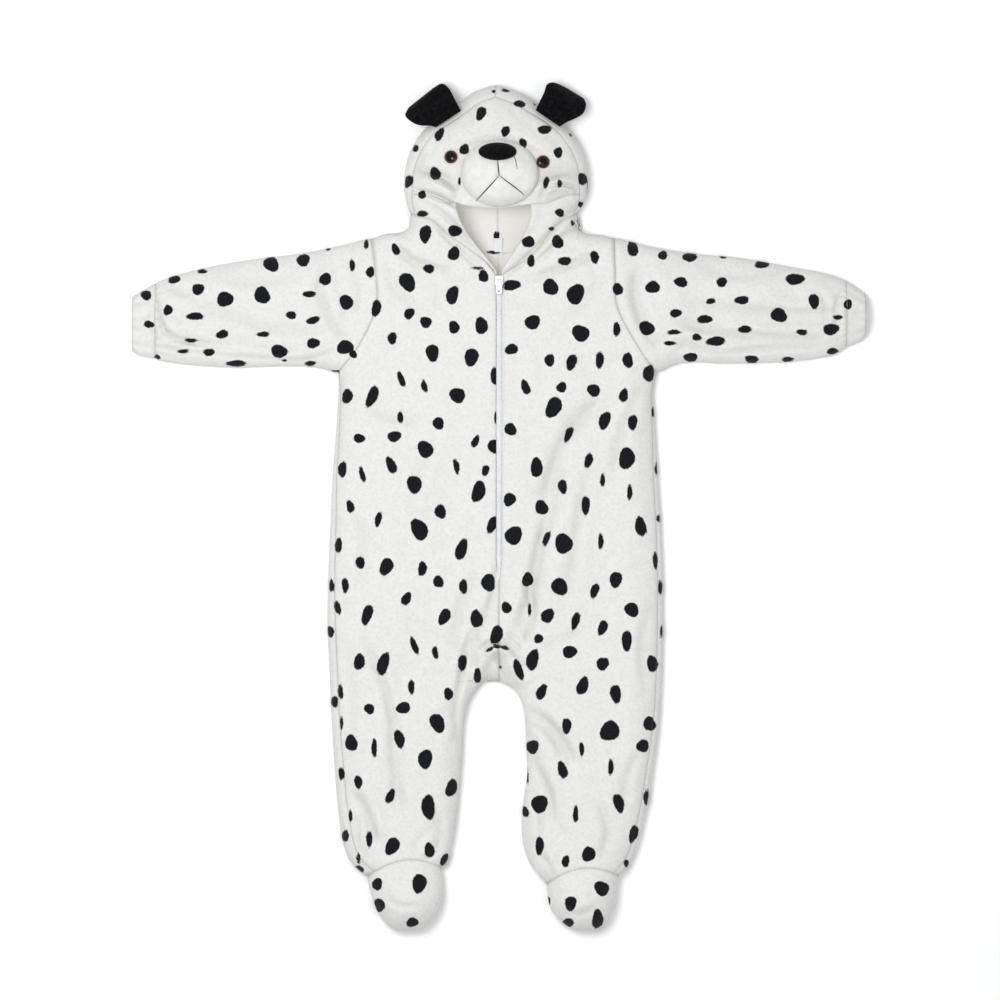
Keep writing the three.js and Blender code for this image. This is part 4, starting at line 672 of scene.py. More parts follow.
def add_cloth(name, plan, on_top, ring=False, relief=0.0, lining=0.0, shift=0.0, parted=1.2):
    """A sewn piece of plush as a thin closed shell on the garment's form. The outer layer has the
    lumps and any relief, and dips by parted millimetres in a bell 2.6 mm wide beside its seams, where
    the pile parts. The inner layer is that form moved in by the cloth's thickness and raised by the
    lining, with a seam allowance that stands 0.8 mm higher along its borders."""
    x, y = plan[..., 0], plan[..., 1]
    outer, normal = skin(plan, on_top, lumps(x, y) + relief)
    border = from_border(outer, ring)
    inner = outer - normal * (WALL + 0.8 * np.exp(-(((border - 1.5) / 1.6) ** 2)))[..., None]
    inner[..., 2] += lining
    outer = outer - normal * (parted * np.exp(-((border / 2.6) ** 2)))[..., None]
    outer[..., 2] = np.maximum(outer[..., 2], 0.02)
    rows, columns = x.shape
    spots = print_at(x, y + np.where(on_top, 0, shift))
    inside = print_at(x, y, INSIDE_SPOTS)
    # Painted shade: on the top, the curved creases' troughs are darkened in colour, besides the seams'
    # partings along the borders.
    painted_crease_shade = on_top * np.clip(curved_creases_at(x.ravel(), y.ravel()).reshape(x.shape) / -5, 0, 0.8)
    parting_and_crease_shade = np.maximum(np.exp(-((border / 1.3) ** 2)), painted_crease_shade)
    values = {
        "print": np.concatenate([spots.ravel(), inside.ravel()]),
        "inside": np.concatenate([np.zeros(x.size), np.ones(x.size)]),
        # The seam value holds the seams' partings and the painted shade in the creases' troughs.
        "seam": np.concatenate([parting_and_crease_shade.ravel(), np.zeros(x.size)]),
    }
    points = np.vstack([outer.reshape(-1, 3), inner.reshape(-1, 3)])
    obj = add_mesh("plush_" + name, points, shell_faces(rows, columns, ring), values)
    finish_piece(obj, "plush", name)


def at_height(curve, y):
    """Points at the heights y of a curve that falls all the way, read off 3000 even steps of it."""
    t = np.linspace(0, 1, 3000)
    return curve(np.interp(-y, -curve(t)[:, 1], t))


def body_rows(side, arm, body, leg):
    """The body's rows from the shoulder to the ankle, which run straight between the outer end and the
    inner end. With them go how far in the side seam stands, how far a row is bent to follow the neck,
    and how far it arches."""
    down = np.linspace(0, 1, arm + 1)
    y = np.linspace(CHEST_Y, CROTCH_Y, body + 1)[1:]
    k = np.linspace(0, 1, leg + 1)[1:]
    inner_leg = inseam[side](k)
    leg_y = lerp(inner_leg[:, 1], lerp(CROTCH_Y, ANKLE_Y, k), 0.5 + 0.5 * k)
    side_y = np.concatenate([y, leg_y])
    outer = np.vstack([armhole[side](down), at_height(side_edge[side], side_y)])
    neck = np.column_stack([0 * down, lerp(ZIP_TOP, CHEST_Y, down)])
    inner = np.vstack([neck, np.column_stack([0 * y, y]), inner_leg])
    inset = np.interp(-side_y, -SIDE_SEAM[:, 0], SIDE_SEAM[:, 1 if side == "left" else 2])
    seam = np.concatenate([0 * down, inset])
    lift = np.concatenate([1 - down, 0 * side_y])
    bow = np.concatenate([np.zeros(arm + 1 + body), ANKLE_BOW * k**4])
    return {"outer": outer, "inner": inner, "seam": seam, "lift": lift, "bow": bow,
            "width": np.linalg.norm(outer - inner, axis=1)}


def on_rows(rows, share, top_line):
    """Plan points at the shares along the rows: straight between their ends, arched as a parabola, and
    near the neck moved by the lift to the power 1.5 so that the first row follows its line."""
    run = rows["inner"] - rows["outer"]
    points = rows["outer"][:, None] + run[:, None] * share[..., None]
    points[..., 1] += 4 * rows["bow"][:, None] * share * (1 - share)
    straight = rows["outer"][0] + run[0] * share[..., None]
    return points + (top_line - straight) * (rows["lift"] ** 1.5)[:, None, None]


FRONT_STEPS = [0, 0.03, 0.09, 0.18, 0.29, 0.32, 0.41, 0.52, 0.63, 0.74, 0.85, 0.95, 1]
BACK_STEPS = [0, 0.02, 0.045, 0.09, 0.14, 0.17, 0.24, 0.36, 0.52, 0.7, 0.86, 1]


def hood_seam(side, along):
    """The seam over the hood: the outline's point, moved by the inset towards the hood's centre line."""
    edge = hood_side[side](1 - along)
    centre = back_centre(along)
    way = (centre - edge) / np.linalg.norm(centre - edge, axis=-1, keepdims=True)
    return edge + way * np.interp(along, HOOD_INSET[:, 0], HOOD_INSET[:, 1])[..., None]


def back_centre(along):
    """The hood's centre line at the back, from the neck to the crown."""
    return np.stack([lerp(0, -3.5, along), lerp(BACK_NECK_Y, CROWN_CENTRE_Y, along)], axis=-1)


def back_neck(side, share):
    """The back neck seam, from the neck's corner in to the centre: it falls as a power of what is left."""
    x, y = SHOULDER[side][0]
    left = 1 - share
    return np.stack([x * left, BACK_NECK_Y + (y - BACK_NECK_Y) * left**2.2], axis=-1)


neckline = {
    side: smooth([SHOULDER[side][0], hood_seam(side, np.array(0.0)), *NECKLINE[side]]) for side in SIDES
}


def front_top(side, share):
    """A front's top border: the shoulder up to the neck's corner, then the seam that the hood meets."""
    step = np.interp(share, FRONT_STEPS, np.arange(len(FRONT_STEPS)))
    past = np.where(step < 5, (step - 4) / 6, 1 / 6 + (step - 5) * 5 / 42)
    return np.where((step <= 4)[..., None], shoulder[side](1 - step / 4), neckline[side](past))


def back_top(side, share):
    """A back's top border: the shoulder up to the neck's corner, then the back neck seam."""
    step = np.interp(share, BACK_STEPS, np.arange(len(BACK_STEPS)))
    past = np.clip((share - 0.14) / 0.86, 0, 1)
    return np.where((step <= 4)[..., None], shoulder[side](1 - step / 4), back_neck(side, past))


def front_plan(side, columns, arm, body, leg):
    """A front, from its side seam in to the zip, and below the crotch in to the inseam."""
    rows = body_rows(side, arm, body, leg)
    across = np.linspace(0, 1, columns)
    share = lerp((rows["seam"] / rows["width"])[:, None], 1, across[None])
    points = on_rows(rows, share, front_top(side, share))
    opening = ZIP_HALF * rising(points[..., 1], ZIP_END - 26, ZIP_END) * across**12
    points[..., 0] += np.where(np.abs(points[..., 0]) < 20, opening, 0) * (-1 if side == "left" else 1)
    return points


def back_plan(side, strip, columns, arm, body, leg):
    """A back: its strip on the top out to the outline, then round and in to the centre seam. The second
    result is true on the strip."""
    rows = body_rows(side, arm, body, leg)
    under = np.linspace(0, 1, columns) ** 1.5
    first = np.linspace(-1, 0, strip + 1)[:-1]
    on_strip = (rows["seam"] / rows["width"])[:, None] * first[None]
    share = np.hstack([on_strip, np.repeat(under[None], len(on_strip), axis=0)])
    points = on_rows(rows, np.abs(share), back_top(side, np.abs(share)))
    top = np.zeros(share.shape, bool)
    top[:, :strip] = True
    return points, top


def patch(top, bottom, left, right):
    """Plan points that fill a four-sided patch: the blend of its two pairs of borders, less the blend of
    its four corners."""
    v = np.linspace(0, 1, len(left))[:, None, None]
    u = np.linspace(0, 1, len(top))[None, :, None]
    corners = lerp(lerp(top[0], top[-1], u), lerp(bottom[0], bottom[-1], u), v)
    return lerp(top[None], bottom[None], v) + lerp(left[:, None], right[:, None], u) - corners


def there_and_back(values):
    """The values from first to last and back again, with neither end twice."""
    return np.concatenate([values, values[-2:0:-1]])


def tube(shares, top_line, bottom_line):
    """A ring of plan points for each place along a tube: down its top layer by the shares from the top
    line to the bottom line, and back up its underside. The second result is true on the top layer."""
    down = there_and_back(shares)
    points = lerp(top_line[:, None], bottom_line[:, None], down[None, :, None])
    top = np.zeros(points.shape[:2], bool)
    top[:, :len(shares)] = True
    return points, top


# Materials. Every texture reads Object coordinates, which are metres in the row frame.
class Nodes:
    """Short calls that add shader nodes to one material and link them."""

    def __init__(self, name):
        self.material = bpy.data.materials.new(name)
        self.material.use_nodes = True
        self.tree = self.material.node_tree
        self.shader = self.tree.nodes["Principled BSDF"]
        self.place = self.tree.nodes.new("ShaderNodeTexCoord").outputs["Object"]

    def put(self, value, socket):
        """Links an output to a socket, or sets the socket to a constant."""
        if isinstance(value, bpy.types.NodeSocket):
            self.tree.links.new(value, socket)
        else:
            socket.default_value = value

    def noise(self, scale, detail=2.0, stretch=(1, 1, 1)):
        """Noise from 0 to 1 whose cells are about 1/scale metres wide, longer where stretch is less."""
        mapping = self.tree.nodes.new("ShaderNodeMapping")
        mapping.inputs["Scale"].default_value = stretch
        self.tree.links.new(self.place, mapping.inputs["Vector"])
        node = self.tree.nodes.new("ShaderNodeTexNoise")
        node.inputs["Scale"].default_value = scale
        node.inputs["Detail"].default_value = detail
        self.tree.links.new(mapping.outputs["Vector"], node.inputs["Vector"])
        return node.outputs["Fac"]

    def math(self, operation, a, b=0.0, c=0.0):
        """One step of arithmetic."""
        node = self.tree.nodes.new("ShaderNodeMath")
        node.operation = operation
        for value, socket in zip((a, b, c), node.inputs):
            self.put(value, socket)
        return node.outputs[0]

    def ramp(self, value, low, high):
        """0 below low and 1 above high, with a smooth step between them. low may be over high."""
        node = self.tree.nodes.new("ShaderNodeMapRange")
        node.interpolation_type = "SMOOTHSTEP"
        node.inputs["From Min"].default_value = min(low, high)
        node.inputs["From Max"].default_value = max(low, high)
        node.inputs["To Min"].default_value = 0.0 if low < high else 1.0
        node.inputs["To Max"].default_value = 1.0 if low < high else 0.0
        self.put(value, node.inputs["Value"])
        return node.outputs["Result"]

    def mix(self, share, a, b):
        """Colour a where share is 0 and b where it is 1."""
        node = self.tree.nodes.new("ShaderNodeMix")
        node.data_type = "RGBA"
        self.put(share, node.inputs["Factor"])
        for value, key in ((a, "A"), (b, "B")):
            socket = next(s for s in node.inputs if s.name == key and s.type == "RGBA")
            self.put(value if isinstance(value, bpy.types.NodeSocket) else (*value, 1.0), socket)
        return next(s for s in node.outputs if s.type == "RGBA")

    def named(self, name):
        """A value that the mesh carries at its vertices."""
        node = self.tree.nodes.new("ShaderNodeAttribute")
        node.attribute_name = name
        return node.outputs["Fac"]

    def bump(self, height, distance, strength=1.0, under=None):
        """Tilts the surface by a height field, in metres of distance."""
        node = self.tree.nodes.new("ShaderNodeBump")
        node.inputs["Strength"].default_value = strength
        node.inputs["Distance"].default_value = distance
        self.put(height, node.inputs["Height"])
        if under is not None:
            self.tree.links.new(under, node.inputs["Normal"])
        return node.outputs["Normal"]

    def finish(self, color, roughness, normal=None, **constants):
        """Sets the shader's sockets and gives the material."""
        self.put(color, self.shader.inputs["Base Color"])
        self.put(roughness, self.shader.inputs["Roughness"])
        if normal is not None:
            self.put(normal, self.shader.inputs["Normal"])
        for key, value in constants.items():
            self.shader.inputs[key.replace("_", " ")].default_value = value
        return self.material


WHITE_PILE = (0.735, 0.731, 0.715)
SHADED_PILE = (0.675, 0.67, 0.655)
INSIDE_PILE = (0.70, 0.69, 0.665)
# Colour of the seams' partings and of the painted shade in the creases' troughs
SEAM_AND_SHADE_PILE = (0.50, 0.485, 0.455)
DARK_PILE = (0.006, 0.0065, 0.008)
GREY_TIPS = (0.018, 0.02, 0.023)


def plush():
    """Short-pile plush: off-white, darker at the seams' partings and with painted shade in the creases'
    troughs, and near-black where the distance to a spot's edge, pushed by the pile's own noise, falls
    below zero. Its inside glows faintly: painted light, an emission that stands in for the daylight
    that comes through the cloth."""
    n = Nodes("plush")
    tufts = n.noise(330, 3)
    pile = n.noise(1150, 2)
    clumps = n.noise(90, 3)
    white = n.mix(n.ramp(tufts, 0.3, 0.62), SHADED_PILE, WHITE_PILE)
    white = n.mix(n.math("MULTIPLY", n.ramp(clumps, 0.62, 0.3), 0.35), white, SHADED_PILE)
    white = n.mix(n.named("inside"), white, INSIDE_PILE)
    # Darker at the seams' partings, and painted shade in the creases' troughs on the top
    white = n.mix(n.math("MULTIPLY", n.named("seam"), 0.45), white, SEAM_AND_SHADE_PILE)
    dark = n.mix(n.ramp(pile, 0.45, 0.75), DARK_PILE, GREY_TIPS)
    wobble = n.math("MULTIPLY", n.math("SUBTRACT", tufts, 0.5), 1.5)
    hairs = n.math("MULTIPLY", n.math("SUBTRACT", pile, 0.5), 1.1)
    edge = n.math("ADD", n.named("print"), n.math("ADD", wobble, hairs))
    inked = n.ramp(edge, 0.55, -0.5)
    color = n.mix(inked, white, dark)
    soft = n.bump(clumps, 0.0012, 0.4)
    soft = n.bump(tufts, 0.0010, 0.4, soft)
    soft = n.bump(pile, 0.0003, 0.4, soft)
    # Painted light: the cloth's inside emits a faint glow in place of the daylight coming through the cloth,
    # less on the spots.
    painted_inside_glow = n.mix(inked, (0.10, 0.097, 0.092), (0.002, 0.002, 0.002))
    n.put(n.mix(n.named("inside"), (0, 0, 0), painted_inside_glow), n.shader.inputs["Emission Color"])
    n.material.cycles.emission_sampling = "NONE"
    return n.finish(color, 0.95, soft, Sheen_Weight=0.06, Sheen_Roughness=0.6, Specular_IOR_Level=0.04,
                    Emission_Strength=1.0)


def velour():
    """Smooth off-white velour, with a very fine nap."""
    n = Nodes("velour")
    nap = n.noise(1500, 2)
    clumps = n.noise(160, 2)
    color = n.mix(n.ramp(clumps, 0.3, 0.7), (0.70, 0.694, 0.672), (0.755, 0.75, 0.73))
    soft = n.bump(nap, 0.00025, 0.5, n.bump(clumps, 0.0005, 0.5))
    return n.finish(color, 0.9, soft, Sheen_Weight=0.06, Sheen_Roughness=0.5, Specular_IOR_Level=0.06)


def black_plush():
    """Black short-pile plush, greyer at its tips."""
    n = Nodes("black_plush")
    tufts = n.noise(330, 3)
    pile = n.noise(1150, 2)
    color = n.mix(n.ramp(tufts, 0.35, 0.75), (0.002, 0.002, 0.0024), (0.008, 0.0083, 0.0095))
    soft = n.bump(pile, 0.0005, 0.6, n.bump(tufts, 0.0016, 0.7))
    return n.finish(color, 0.95, soft, Sheen_Weight=0.03, Sheen_Roughness=0.5, Specular_IOR_Level=0.06)


def thread(name, light, dark):
    """Twisted sewing thread: fine slanting bands, as noise drawn out along one way."""
    n = Nodes(name)
    twist = n.noise(1300, 1, (1, 0.4, 1))
    normal = n.bump(twist, 0.0002, 0.6)
    return n.finish(n.mix(twist, dark, light), 0.7, normal, Specular_IOR_Level=0.3)


def tape():
    """White woven tape: narrow ribs along it and fine cross threads."""
    n = Nodes("tape")
    ribs = n.noise(1400, 1, (1, 0.12, 1))
    threads = n.noise(1700, 1, (0.2, 1, 1))
    color = n.mix(ribs, (0.70, 0.72, 0.76), (0.86, 0.88, 0.90))
    normal = n.bump(threads, 0.0001, 0.5, n.bump(ribs, 0.0002, 0.6))
    return n.finish(color, 0.75, normal, Specular_IOR_Level=0.3)


def lacquer(name, light, shade, roughness):
    """A smooth hard coat, as on lacquer or moulded plastic: faint orange peel, and duller where it is
    rubbed."""
    n = Nodes(name)
    peel = n.noise(900, 2)
    rubbed = n.noise(120, 3)
    rough = n.math("MULTIPLY_ADD", n.ramp(rubbed, 0.4, 0.7), 0.15, roughness)
    color = n.mix(n.ramp(rubbed, 0.3, 0.75), light, shade)
    return n.finish(color, rough, n.bump(peel, 0.00006, 0.5), Specular_IOR_Level=0.5, Coat_Weight=0.25)


def eye_gloss():
    """A glossy black dome with a dark brown rim: brown where the distance from the eye's middle, which
    the mesh carries, passes the black ball's edge."""
    n = Nodes("eye_gloss")
    mottle = n.noise(500, 2)
    brown = n.mix(mottle, (0.035, 0.014, 0.006), (0.10, 0.045, 0.02))
    color = n.mix(n.ramp(n.named("reach"), 0.68, 0.78), (0.003, 0.0025, 0.0025), brown)
    rough = n.math("MULTIPLY_ADD", mottle, 0.08, 0.06)
    return n.finish(color, rough, n.bump(mottle, 0.00003, 0.4), Specular_IOR_Level=0.25, Coat_Weight=0.04)


materials = {
    "plush": plush(),
    "velour": velour(),
    "black_plush": black_plush(),
    "black_thread": thread("black_thread", (0.03, 0.03, 0.035), (0.006, 0.006, 0.007)),
    "white_thread": thread("white_thread", (0.84, 0.85, 0.86), (0.55, 0.56, 0.58)),
    "tape": tape(),
    "coil": lacquer("coil", (0.90, 0.905, 0.91), (0.84, 0.85, 0.87), 0.4),
    "lacquer": lacquer("lacquer", (0.86, 0.86, 0.86), (0.78, 0.78, 0.79), 0.28),
    "eye": eye_gloss(),
}


def neck_gathers(plan):
    """Folds that the back neck seam gathers up inside the hood: uneven waves across the neck, in a
    bell 11 mm long about the seam that ends 36 mm either side of the middle."""
    x, y = plan[..., 0], plan[..., 1]
    waves = 0.5 + 0.5 * np.sin(x / 1.55 + 0.9 * np.sin(x / 4.3 + 1))
    return 2.4 * waves * np.exp(-(((y - BACK_NECK_Y) / 11) ** 2)) * rising(np.abs(x), 36, 22)


def add_body(side):
    """A front and a back."""
    add_cloth("front_" + side, front_plan(side, 88, 64, 165, 104), True)
    plan, top = back_plan(side, 5, 60, 40, 100, 64)
    add_cloth("back_" + side, plan, top,
              lining=neck_gathers(plan))


CUFF_GATHER = {"left": 1.3, "right": 0.8}  # half height of the elastic's gathers


def add_sleeve(side):
    """A sleeve, whose rings bow by the armhole's own bow times the square of what is left to the cuff.
    The cuff's elastic pulls it into waves that fade over 14 mm."""
    half = np.linspace(0, 1, 70)
    shares = 0.5 * half + 0.5 * (1 - np.cos(np.pi * half)) / 2
    out = np.linspace(0, 1, 120)
    plan, top = tube(shares, sleeve_top[side](out), sleeve_bottom[side](out))
    turn = there_and_back(shares)
    ends = armhole[side](np.array([0.0, 1.0]))
    bow = armhole[side](turn) - lerp(ends[0], ends[1], turn[:, None])
    plan += bow[None] * ((1 - out) ** 2)[:, None, None]
    cuff_x = abs(SLEEVE_TOP[side][-1][0])
    fade = np.exp(-((cuff_x - np.abs(plan[..., 0])) / 14)) * CUFF_GATHER[side]
    gathers = fade * (np.cos(20 * np.pi * turn + 0.8 * np.sin(9 * turn)) - 0.6)
    add_cloth("sleeve_" + side, plan, top, ring=True, relief=gathers)


def add_cuff(side):
    """A cuff: a short tube, pulled in by its elastic as 12 waves round it that start at the sleeve."""
    half = np.linspace(0, 1, 130)
    out = np.linspace(0, 1, 14)
    plan, top = tube((1 - np.cos(np.pi * half)) / 2, cuff_top[side](out), cuff_bottom[side](out))
    waves = np.cos(12 * np.pi * there_and_back(half)) - 1
    gathers = CUFF_GATHER[side] * waves[None] * np.minimum(1, out * 4)[:, None]
    add_cloth("cuff_" + side, plan, top, ring=True, relief=gathers, parted=0.8)


def foot_plan(side, places, count):
    """A patch from the ankle seam to the toes, with the foot's two sides as its other borders. The seam
    is the leg's last row, read at the places, which are shares of it."""
    last = {key: value[-1] for key, value in body_rows(side, 4, 4, 40).items()}
    even = np.linspace(0, 1, count)
    share = np.interp(even, np.linspace(0, 1, len(places)), places)
    ankle = last["outer"] + (last["inner"] - last["outer"]) * share[:, None]
    ankle[:, 1] += 4 * last["bow"] * share * (1 - share)
    down = TOE_SHARE * np.linspace(0, 1, 60)
    toes = foot_edge[side](lerp(TOE_SHARE, 1 - TOE_SHARE, even))
    return patch(ankle, toes, foot_edge[side](down), foot_edge[side](1 - down))


def add_foot(side):
    """A foot's upper, which reaches over the side seam to the outline, and its sole."""
    rows = body_rows(side, 4, 4, 40)
    seam = rows["seam"][-1] / rows["width"][-1]
    upper = [0, seam / 2, *(lerp(seam, 1, s) for s in FRONT_STEPS)]
    add_cloth("foot_upper_" + side, foot_plan(side, upper, 60), True)
    first = BACK_STEPS[2]
    sole = [(s - first) / (1 - first) for s in BACK_STEPS[2:]]
    add_cloth("sole_" + side, foot_plan(side, sole, 44), False)


def add_hood_side(side):
    """A side of the hood: a strip on the top from the hood seam out to the outline, then round and
    along the floor to the centre back. Its lower end follows the back neck seam."""
    along = np.linspace(0, 1, 90)
    edge = hood_side[side](1 - along)[:, None]
    strip = lerp(hood_seam(side, along)[:, None], edge, np.linspace(0, 1, 7)[None, :-1, None])
    share = np.linspace(0, 1, 42) ** 1.4
    corner, middle = np.array(SHOULDER[side][0]), np.array([0, BACK_NECK_Y])
    dip = back_neck(side, share) - lerp(corner, middle, share[:, None])
    under = lerp(edge, back_centre(along)[:, None], share[None, :, None])
    under = under + dip[None] * ((1 - along) ** 3)[:, None, None]
    plan = np.concatenate([strip, under], axis=1)
    top = np.zeros(plan.shape[:2], bool)
    top[:, :strip.shape[1]] = True
    add_cloth("hood_side_" + side, plan, top, lining=neck_gathers(plan),
              shift=-PRINT_REPEAT)


def hem_end(side, count):
    """One end of the face panel's hem, from the hood seam to the hood's front edge."""
    seam = hood_seam(side, np.array(HEM_SHARE))
    inward = 1 if side == "left" else -1
    points = [seam, seam + [16 * inward, -2.5], seam + [31 * inward, -8.5], HOOD_FRONT[side][0]]
    return smooth(points)(np.linspace(0, 1, count))


def add_face():
    """The face panel, from the hood seam down to the hem over the face opening."""
    corner = lerp(HEM_SHARE, 1, 6 / 13)
    rise = np.linspace(corner, 1, 60)
    top_line = np.vstack([hood_seam("left", rise), hood_seam("right", rise[-2::-1])])
    middle = smooth([HOOD_FRONT["left"][0], *HEM_MIDDLE, HOOD_FRONT["right"][0]])
    hem = np.vstack([
        hem_end("left", 35)[:-1], middle(np.linspace(0, 1, 51)), hem_end("right", 35)[::-1][1:],
    ])
    down = np.linspace(corner, HEM_SHARE, 90)
    plan = patch(top_line, hem, hood_seam("left", down), hood_seam("right", down))
    add_cloth("hood_face", plan, True)


def add_hood_edge(side):
    """The hood's front edge, from under the cheek down to the zip."""
    step = np.linspace(0, 9, 110)
    past = 1 / 6 + (5 / 6) * np.clip((step - 2) / 7, 0, 1)
    cheek = hood_seam(side, HEM_SHARE * np.clip(1 - step / 2, 0, 1))
    neck = np.where((step <= 2)[:, None], cheek, neckline[side](past))
    away = np.array([-ZIP_HALF if side == "left" else ZIP_HALF, 0])
    share = np.linspace(0, 1, len(step))
    inner = hood_front[side](share) + away * (share**8)[:, None]
    neck = neck + away * (rising(share, 0.94, 1))[:, None]
    top_line = hem_end(side, 30)
    end = lerp(neck[-1], inner[-1], np.linspace(0, 1, 30)[:, None])
    add_cloth("hood_edge_" + side, patch(top_line, end, neck, inner), True,
              parted=1.0)


for side in SIDES:
    add_body(side)
    add_sleeve(side)
    add_cuff(side)
    add_foot(side)
    add_hood_side(side)
    add_hood_edge(side)
add_face()


# The dog's face
def top_height(x, y):
    """Height of the garment's top at plan points."""
    plan = np.stack(np.broadcast_arrays(x, y), axis=-1).astype(float)
    return skin(plan, True)[0][..., 2]


# Each rounded piece on the face. Its rings are shares of an oval whose upper and lower halves differ.
# gap is what lies between it and its seat, and edge and crown are its heights over that.
MUZZLE = {"middle": (0.5, 333.0), "half_width": 38.5, "up": 34.0, "down": 32.5, "gap": 0.9, "edge": 2.5,
          "crown": 26.0, "rings": 64, "points": 150}
NOSE = {"middle": (-1.5, 355.0), "half_width": 19.0, "up": 9.0, "down": 9.0, "gap": 0.6, "edge": 2.0,
        "crown": 9.0, "rings": 24, "points": 72}
EYE = {"half_width": 6.6, "up": 6.6, "down": 6.6, "gap": 0.4, "edge": 1.2, "crown": 4.6, "rings": 24,
       "points": 48}
EYE_MIDDLES = {"left": (-48, 350), "right": (44, 345)}
# Columns as for the folds: under the mouth's threads, over the nose, and slack cloth at the chin
MUZZLE_CREASES = np.array([
    (-1.5, 344, 0.3, 331.1, 2.2, -1.3), (0.3, 331.1, -23.5, 305.5, 2.4, -1.5),
    (0.3, 331.1, 25.7, 311.1, 2.4, -1.5), (-12, 366.5, 12, 366.5, 2.6, -1.4),
    (-16, 309, 14, 307, 5, 1.2), (-30, 340, -22, 322, 6, -0.9), (32, 342, 24, 326, 6, -0.9),
])


def dome_over(shape, share):
    """A dome's height over its gap, by the share of the way out to its rim: the edge, and the rest of
    the crown times the root of 1 - share^2."""
    return shape["edge"] + (shape["crown"] - shape["edge"]) * np.sqrt(np.maximum(1 - share**2, 0))


def muzzle_height(x, y):
    """Height of the muzzle's top: its dome over the hood, with its creases, which fade to its rim."""
    middle_x, middle_y = MUZZLE["middle"]
    up = np.where(y > middle_y, MUZZLE["up"], MUZZLE["down"])
    share = np.minimum(np.hypot((x - middle_x) / MUZZLE["half_width"], (y - middle_y) / up), 1)
    creases = folds_at(x, y, MUZZLE_CREASES) * (1 - share**4)
    return top_height(x, y) + MUZZLE["gap"] + dome_over(MUZZLE, share) + creases


def add_dome(name, node, shape, seat, material, creased=False):
    """A rounded piece on the face. Its rings lie at sines of even steps from its middle out, and its
    dome stands over them or, where it is creased, the muzzle's own top."""
    share = np.sin(np.linspace(0.0005, np.pi / 2, shape["rings"]))[:, None]
    angle = np.linspace(0, 2 * np.pi, shape["points"], endpoint=False)[None]
    up = np.where(np.sin(angle) > 0, shape["up"], shape["down"])
    x = shape["middle"][0] + shape["half_width"] * share * np.cos(angle)
    y = shape["middle"][1] + up * share * np.sin(angle)
    under = seat(x, y) + shape["gap"]
    top = muzzle_height(x, y) if creased else under + dome_over(shape, share)
    reach = np.tile(np.broadcast_to(share, x.shape).ravel(), 2)
    faces = shell_faces(shape["rings"], shape["points"], True)
    obj = add_mesh(name, stacked(x, y, (top, under)), faces, {"reach": reach})
    finish_piece(obj, material, node)
    return obj


muzzle = add_dome("stuffed_muzzle", "muzzle", MUZZLE, top_height, "velour", creased=True)
nose = add_dome("stuffed_nose", "nose", NOSE, muzzle_height, "black_plush")
for side, middle in EYE_MIDDLES.items():
    add_dome("shank_eye_" + side, "eye_" + side, {**EYE, "middle": middle}, top_height, "eye")

# Each ear's rows from where it is sewn to its tip. Columns: x and y of one edge, x and y of the other,
# height of the middle and half thickness.
EARS = {
    "left": [(-38, 396.5, -63, 380, 35, 3), (-41.5, 403, -68.5, 381.5, 31.6, 5),
             (-46.5, 413, -79, 382, 28, 7.5), (-50, 419, -86.5, 385, 24, 7.5),
             (-57, 424, -93.6, 392, 19, 6), (-66, 419.5, -90.5, 400, 14, 2.5)],
    "right": [(36.5, 397, 60.5, 380.5, 35, 3), (40, 404.5, 66.5, 384.5, 31.6, 5),
              (45, 415, 76.5, 389, 28, 7.5), (48, 423, 84, 394, 24, 7.5),
              (55, 425, 87, 402, 19, 6), (68, 419.5, 85, 409, 14, 2.5)],
}
EAR_RIM = 1.2  # half thickness at the seam round an ear


def add_ear(side):
    """A stuffed ear: its half thickness swells by the root of a sine from one edge to the other, with
    shallow waves along it where the stuffing has settled."""
    rows = smooth(EARS[side])(np.linspace(0, 1, 60))[:, None]
    share = np.linspace(0, 1, 56)[None]
    swell = EAR_RIM + (np.maximum(rows[..., 5], EAR_RIM) - EAR_RIM) * np.sqrt(np.sin(np.pi * share) + 1e-9)
    x = lerp(rows[..., 0], rows[..., 2], share)
    y = lerp(rows[..., 1], rows[..., 3], share)
    waves = (0.9 * np.sin(x / 3.9 + y / 6.1) + 0.6 * np.sin(x / 7 - y / 3.3)) * np.sin(np.pi * share)
    half = swell + waves
    points = stacked(x, y, (rows[..., 4] + half, rows[..., 4] - half))
    obj = add_mesh("stuffed_ear_" + side, points, shell_faces(60, 56, False), {})
    finish_piece(obj, "black_plush", "ear_" + side)


for side in SIDES:
    add_ear(side)


# Threads, stitches and zip teeth
def add_tubes(name, paths, radius, material, around=7):
    """Round tubes along paths, all in one mesh: at each path point a circle stands square to the path.
    Its radius tapers to a tenth at the two ends as the root of a sine."""
    count, steps = paths.shape[:2]
    way = np.gradient(paths, axis=1)
    way /= np.linalg.norm(way, axis=2, keepdims=True)
    side_way = np.cross(way, [0.0, 0.0, 1.0])
    side_way /= np.linalg.norm(side_way, axis=2, keepdims=True)
    up_way = np.cross(side_way, way)
    angle = np.linspace(0, 2 * np.pi, around, endpoint=False)
    taper = 0.1 + 0.9 * np.sqrt(np.abs(np.sin(np.pi * np.linspace(0.001, 0.999, steps))))
    size = (radius * taper)[None, :, None, None]
    circle = (np.cos(angle)[:, None] * side_way[:, :, None] + np.sin(angle)[:, None] * up_way[:, :, None])
    points = (paths[:, :, None] + size * circle).reshape(-1, 3)
    index = np.arange(count * steps * around).reshape(count, steps, around)
    index = np.concatenate([index, index[:, :, :1]], axis=2)
    cells = [index[:, :-1, :-1], index[:, :-1, 1:], index[:, 1:, 1:], index[:, 1:, :-1]]
    obj = add_mesh(name, points, np.stack(cells, axis=-1).reshape(-1, 4), {})
    obj.data.materials.append(materials[material])
    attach(obj, "garment")
    return obj


